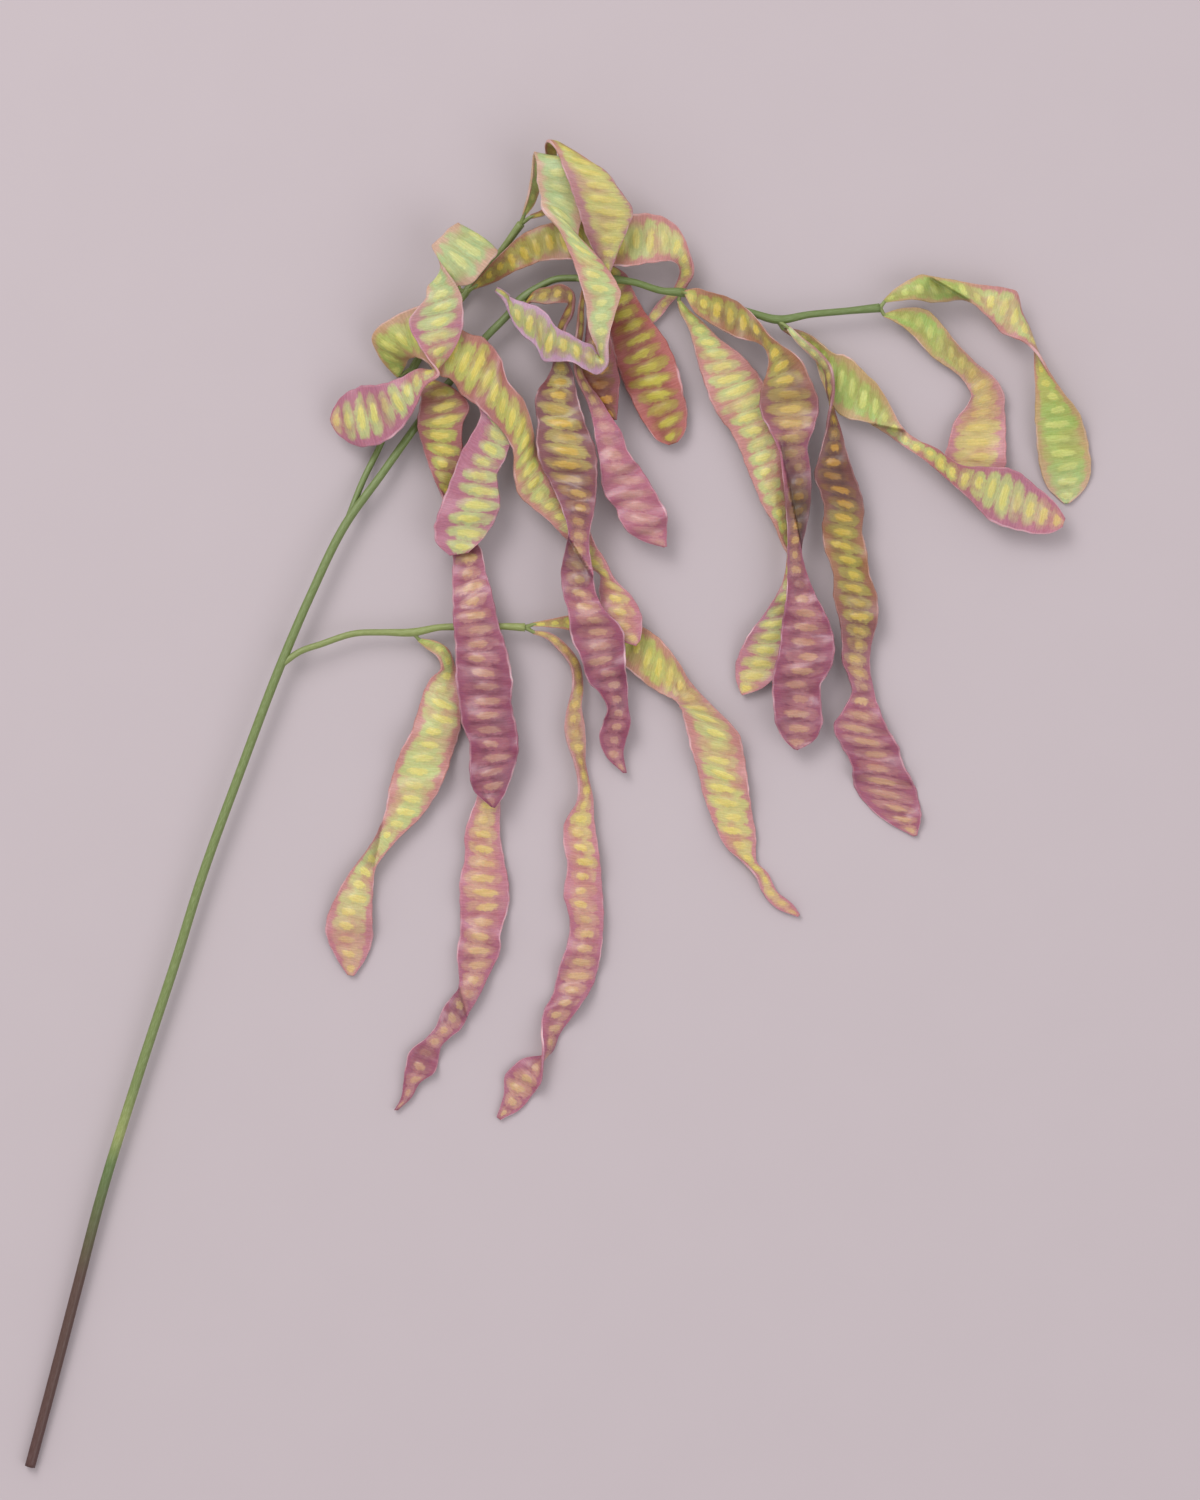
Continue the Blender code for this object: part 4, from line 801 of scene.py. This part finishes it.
def pod_pattern_group():
    """Where a pod's seeds, their lobes, the bars between and the rims are, and how its skin wrinkles."""
    n = new_group("pod skin pattern", ("Lean", "Bars", "Offset"), (
        "Share", "Seed", "Lobe", "Shown", "Inner", "Rim", "Fibre", "Mottle", "Blush", "Height"))
    given = n.add("NodeGroupInput").outputs
    where = n.add("ShaderNodeAttribute", attribute_name="place_on_skin").outputs["Vector"]
    across, along, share = n.add("ShaderNodeSeparateXYZ", {0: where}).outputs
    shift = n.add("ShaderNodeCombineXYZ", {0: given["Offset"]}).outputs[0]
    to_size = n.scaled(where, (1.6, 1.0, 0.0))
    spot = n.add("ShaderNodeVectorMath", {0: to_size, 1: shift}, operation="ADD").outputs[0]
    wander = n.minus(n.noise(spot, 1.1), 0.5)
    flutter = n.minus(n.noise(spot, 3.1), 0.5)
    feather = n.minus(n.noise(n.scaled(spot, (0.5, 2.2, 0.0)), 6.0, 4.0), 0.5)
    ragged = n.plus(n.times(flutter, 0.8), n.times(feather, 0.9))
    patches = n.noise(spot, 0.45, 2.0)
    mottle = n.noise(spot, 8.0, 6.0)
    folds = n.noise(n.scaled(spot, (0.9, 1.9, 0.0)), 1.9)
    u = n.plus(n.plus(across, given["Lean"]), n.times(wander, STRAY_ACROSS))
    s = n.plus(along, n.times(flutter, STRAY_ALONG))
    seed, lobe, shown = seeds_and_lobes(n, given, u, s, patches)
    n.add("NodeGroupOutput", {
        "Share": share,
        "Seed": n.times(n.smooth(n.plus(seed, ragged), 1.35, 0.4), shown),
        "Lobe": n.smooth(n.plus(lobe, n.times(ragged, 1.4)), 1.35, 0.35),
        "Shown": shown,
        "Inner": n.smooth(n.size(u), 0.85, 0.35),
        "Rim": n.smooth(n.size(across), 0.9, 0.97),
        "Fibre": n.noise(n.scaled(spot, (0.6, 5.0, 0.0)), 2.2, 4.0),
        "Mottle": mottle,
        "Blush": patches,
        "Height": n.plus(folds, n.times(mottle, 0.1)),
    })
    return n.tree


def new_material(name):
    material = bpy.data.materials.new(name)
    material.use_nodes = True
    return material, Nodes(material.node_tree)


def pod_colour(n, pod, marks, crinkled):
    """Golden seeds in green lobes, with bars and margins between, pale rims with a painted highlight and the
    shade of a fold.
    """
    field, seed, margin, between = (
        n.ramp(marks["Share"], [(at, linear(skin[i])) for at, skin in pod.skins])
        for i in (FIELD, SEED, MARGIN, BETWEEN)
    )
    fresh = n.times(n.smooth(marks["Blush"], 0.56, 0.4), n.minus(0.8, crinkled))
    field = n.mix(fresh, field, n.toned(field, 0.97, 1.0, 0.53))
    skin = n.mix(marks["Inner"], margin, between)
    blushing = n.times(n.smooth(marks["Blush"], 0.44, 0.66), 0.75)
    faded = n.times(n.minus(1.0, marks["Shown"]), n.times(crinkled, 0.7))
    kept = n.times(n.minus(1.0, blushing), n.minus(1.0, faded))
    skin = n.mix(n.times(marks["Lobe"], kept), skin, field)
    skin = n.mix(n.times(marks["Seed"], pod.seeds), skin, seed)
    outer = n.times(n.minus(1.0, marks["Inner"]), crinkled)
    skin = n.mix(n.times(outer, 0.6), skin, n.toned(skin, 0.78, 1.12))
    skin = n.mix(n.smooth(marks["Fibre"], 0.3, 0.7), n.toned(skin, 0.8, 1.04), n.toned(skin, 0.97, 0.96))
    skin = n.mix(n.smooth(marks["Mottle"], 0.3, 0.7), n.toned(skin, 0.94), n.toned(skin, 1.04))
    # painted highlight along the rims, over their own pale tint: stronger where the skin blushes and on
    # glossy, crinkled skin
    rim_tint_and_highlight = n.plus(n.smooth(marks["Blush"], 0.4, 0.9), n.times(crinkled, 0.12))
    skin = n.mix(n.times(marks["Rim"], rim_tint_and_highlight), skin, linear(RIM_TINT_AND_HIGHLIGHT))
    under = n.add("ShaderNodeAttribute", attribute_name="under_fold").outputs["Fac"]
    shaded = n.times(n.math("POWER", under, FOLD_SHADE_CURVE), pod.shade)
    return n.mix(shaded, skin, n.toned(skin, 0.27, 1.2))


def pod_material(name, pod, number, pattern):
    """A pod's skin: glossier and more wrinkled where it is crinkled."""
    material, n = new_material(name + " skin")
    given = {"Lean": pod.lean, "Bars": pod.bars, "Offset": OFFSET_STEP * number}
    marks = n.add("ShaderNodeGroup", given, node_tree=pattern).outputs
    crinkled = n.ramp(marks["Share"], [(at, (*[skin[CRINKLED]] * 3, 1)) for at, skin in pod.skins])
    depth = n.times(marks["Height"], n.plus(n.times(crinkled, 0.5), 0.25))
    bump = n.add("ShaderNodeBump", {"Strength": 0.8, "Distance": SKIN_BUMP, "Height": depth})
    dull = n.plus(n.times(crinkled, -0.12), 0.44)
    n.finish({
        "Base Color": pod_colour(n, pod, marks, crinkled),
        "Roughness": n.plus(dull, n.times(marks["Mottle"], 0.1)),
        "Coat Weight": n.plus(n.times(crinkled, 0.3), 0.12),
        "Coat Roughness": 0.38,
        "Subsurface Weight": FLESH,
        "Subsurface Scale": FLESH_DEPTH,
        "Normal": bump.outputs[0],
    })
    return material


def stem_material():
    """Ridged green bark, brown towards the cut foot and yellower on the side stems."""
    material, n = new_material("green stem")
    where = n.add("ShaderNodeAttribute", attribute_name="place_on_skin").outputs["Vector"]
    hue = n.add("ShaderNodeSeparateXYZ", {0: where}).outputs[2]
    base = n.ramp(hue, [(at, linear(colour)) for at, colour in STEM_HUES])
    streaks = n.noise(n.scaled(where, (1.6, 0.12, 0.0)), 3.0, 5.0)
    streaked = n.mix(n.smooth(streaks, 0.4, 0.7), base, n.toned(base, 1.3, 0.85))
    specks = n.smooth(n.noise(where, 4.0, 2.0), 0.68, 0.75)
    bump = n.add("ShaderNodeBump", {"Strength": 0.4, "Distance": STEM_BUMP, "Height": streaks})
    n.finish({
        "Base Color": n.mix(specks, streaked, linear(STEM_SPECKS)),
        "Roughness": n.plus(0.38, n.times(streaks, 0.2)),
        "Coat Weight": 0.15,
        "Coat Roughness": 0.3,
        "Normal": bump.outputs[0],
    })
    return material


def floor():
    material, n = new_material("pale floor")
    grain = n.noise(n.add("ShaderNodeTexCoord").outputs["Object"], 30.0, 4.0)
    colour = n.mix(grain, linear(FLOOR_COLOUR), linear(FLOOR_GRAIN))
    n.finish({"Base Color": colour, "Roughness": 0.9, "Specular IOR Level": 0.1})
    bpy.ops.mesh.primitive_plane_add(size=FLOOR_SIZE, location=(0, 0, -FLOOR_DROP))
    plane = bpy.context.object
    plane.name = "pale_floor"
    plane.data.materials.append(material)


def soft_light(name, location, size, energy, colour):
    light = bpy.data.lights.new(name, "AREA")
    light.size, light.energy, light.color = size, energy, colour
    lamp = bpy.data.objects.new(name, light)
    lamp.location = location
    lamp.rotation_euler = (-Vector(location)).to_track_quat("-Z", "Y").to_euler()
    bpy.context.scene.collection.objects.link(lamp)


def light_and_camera(shift):
    for lamp in LAMPS:
        soft_light(*lamp)
    world = bpy.data.worlds.new("studio")
    world.use_nodes = True
    glow = world.node_tree.nodes["Background"].inputs
    glow["Color"].default_value = WORLD_COLOUR
    glow["Strength"].default_value = WORLD_STRENGTH
    scene = bpy.context.scene
    scene.world = world
    scene.view_settings.view_transform = "Standard"
    camera = bpy.data.cameras.new("camera")
    camera.lens, camera.sensor_height, camera.sensor_fit = LENS, SENSOR, "VERTICAL"
    x, y, _ = place(PHOTO_WIDTH / 2, PHOTO_HEIGHT / 2, 0) + shift
    eye = bpy.data.objects.new("camera", camera)
    eye.location = (x, y, SEEN_HEIGHT + PHOTO_HEIGHT * PIXEL * LENS / SENSOR)
    scene.collection.objects.link(eye)
    scene.camera = eye


def main():
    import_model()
    known = "pod_right_high"
    shift = np.array(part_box(known)[0]) - solid_points(PODS[known].stations).min(axis=0)
    floor()
    light_and_camera(shift)
    pattern = pod_pattern_group()
    for number, (name, pod) in enumerate(PODS.items()):
        fine_pod(name, pod, number, shift, pod_material(name, pod, number, pattern))
    fine_stem(shift, stem_material())


main()
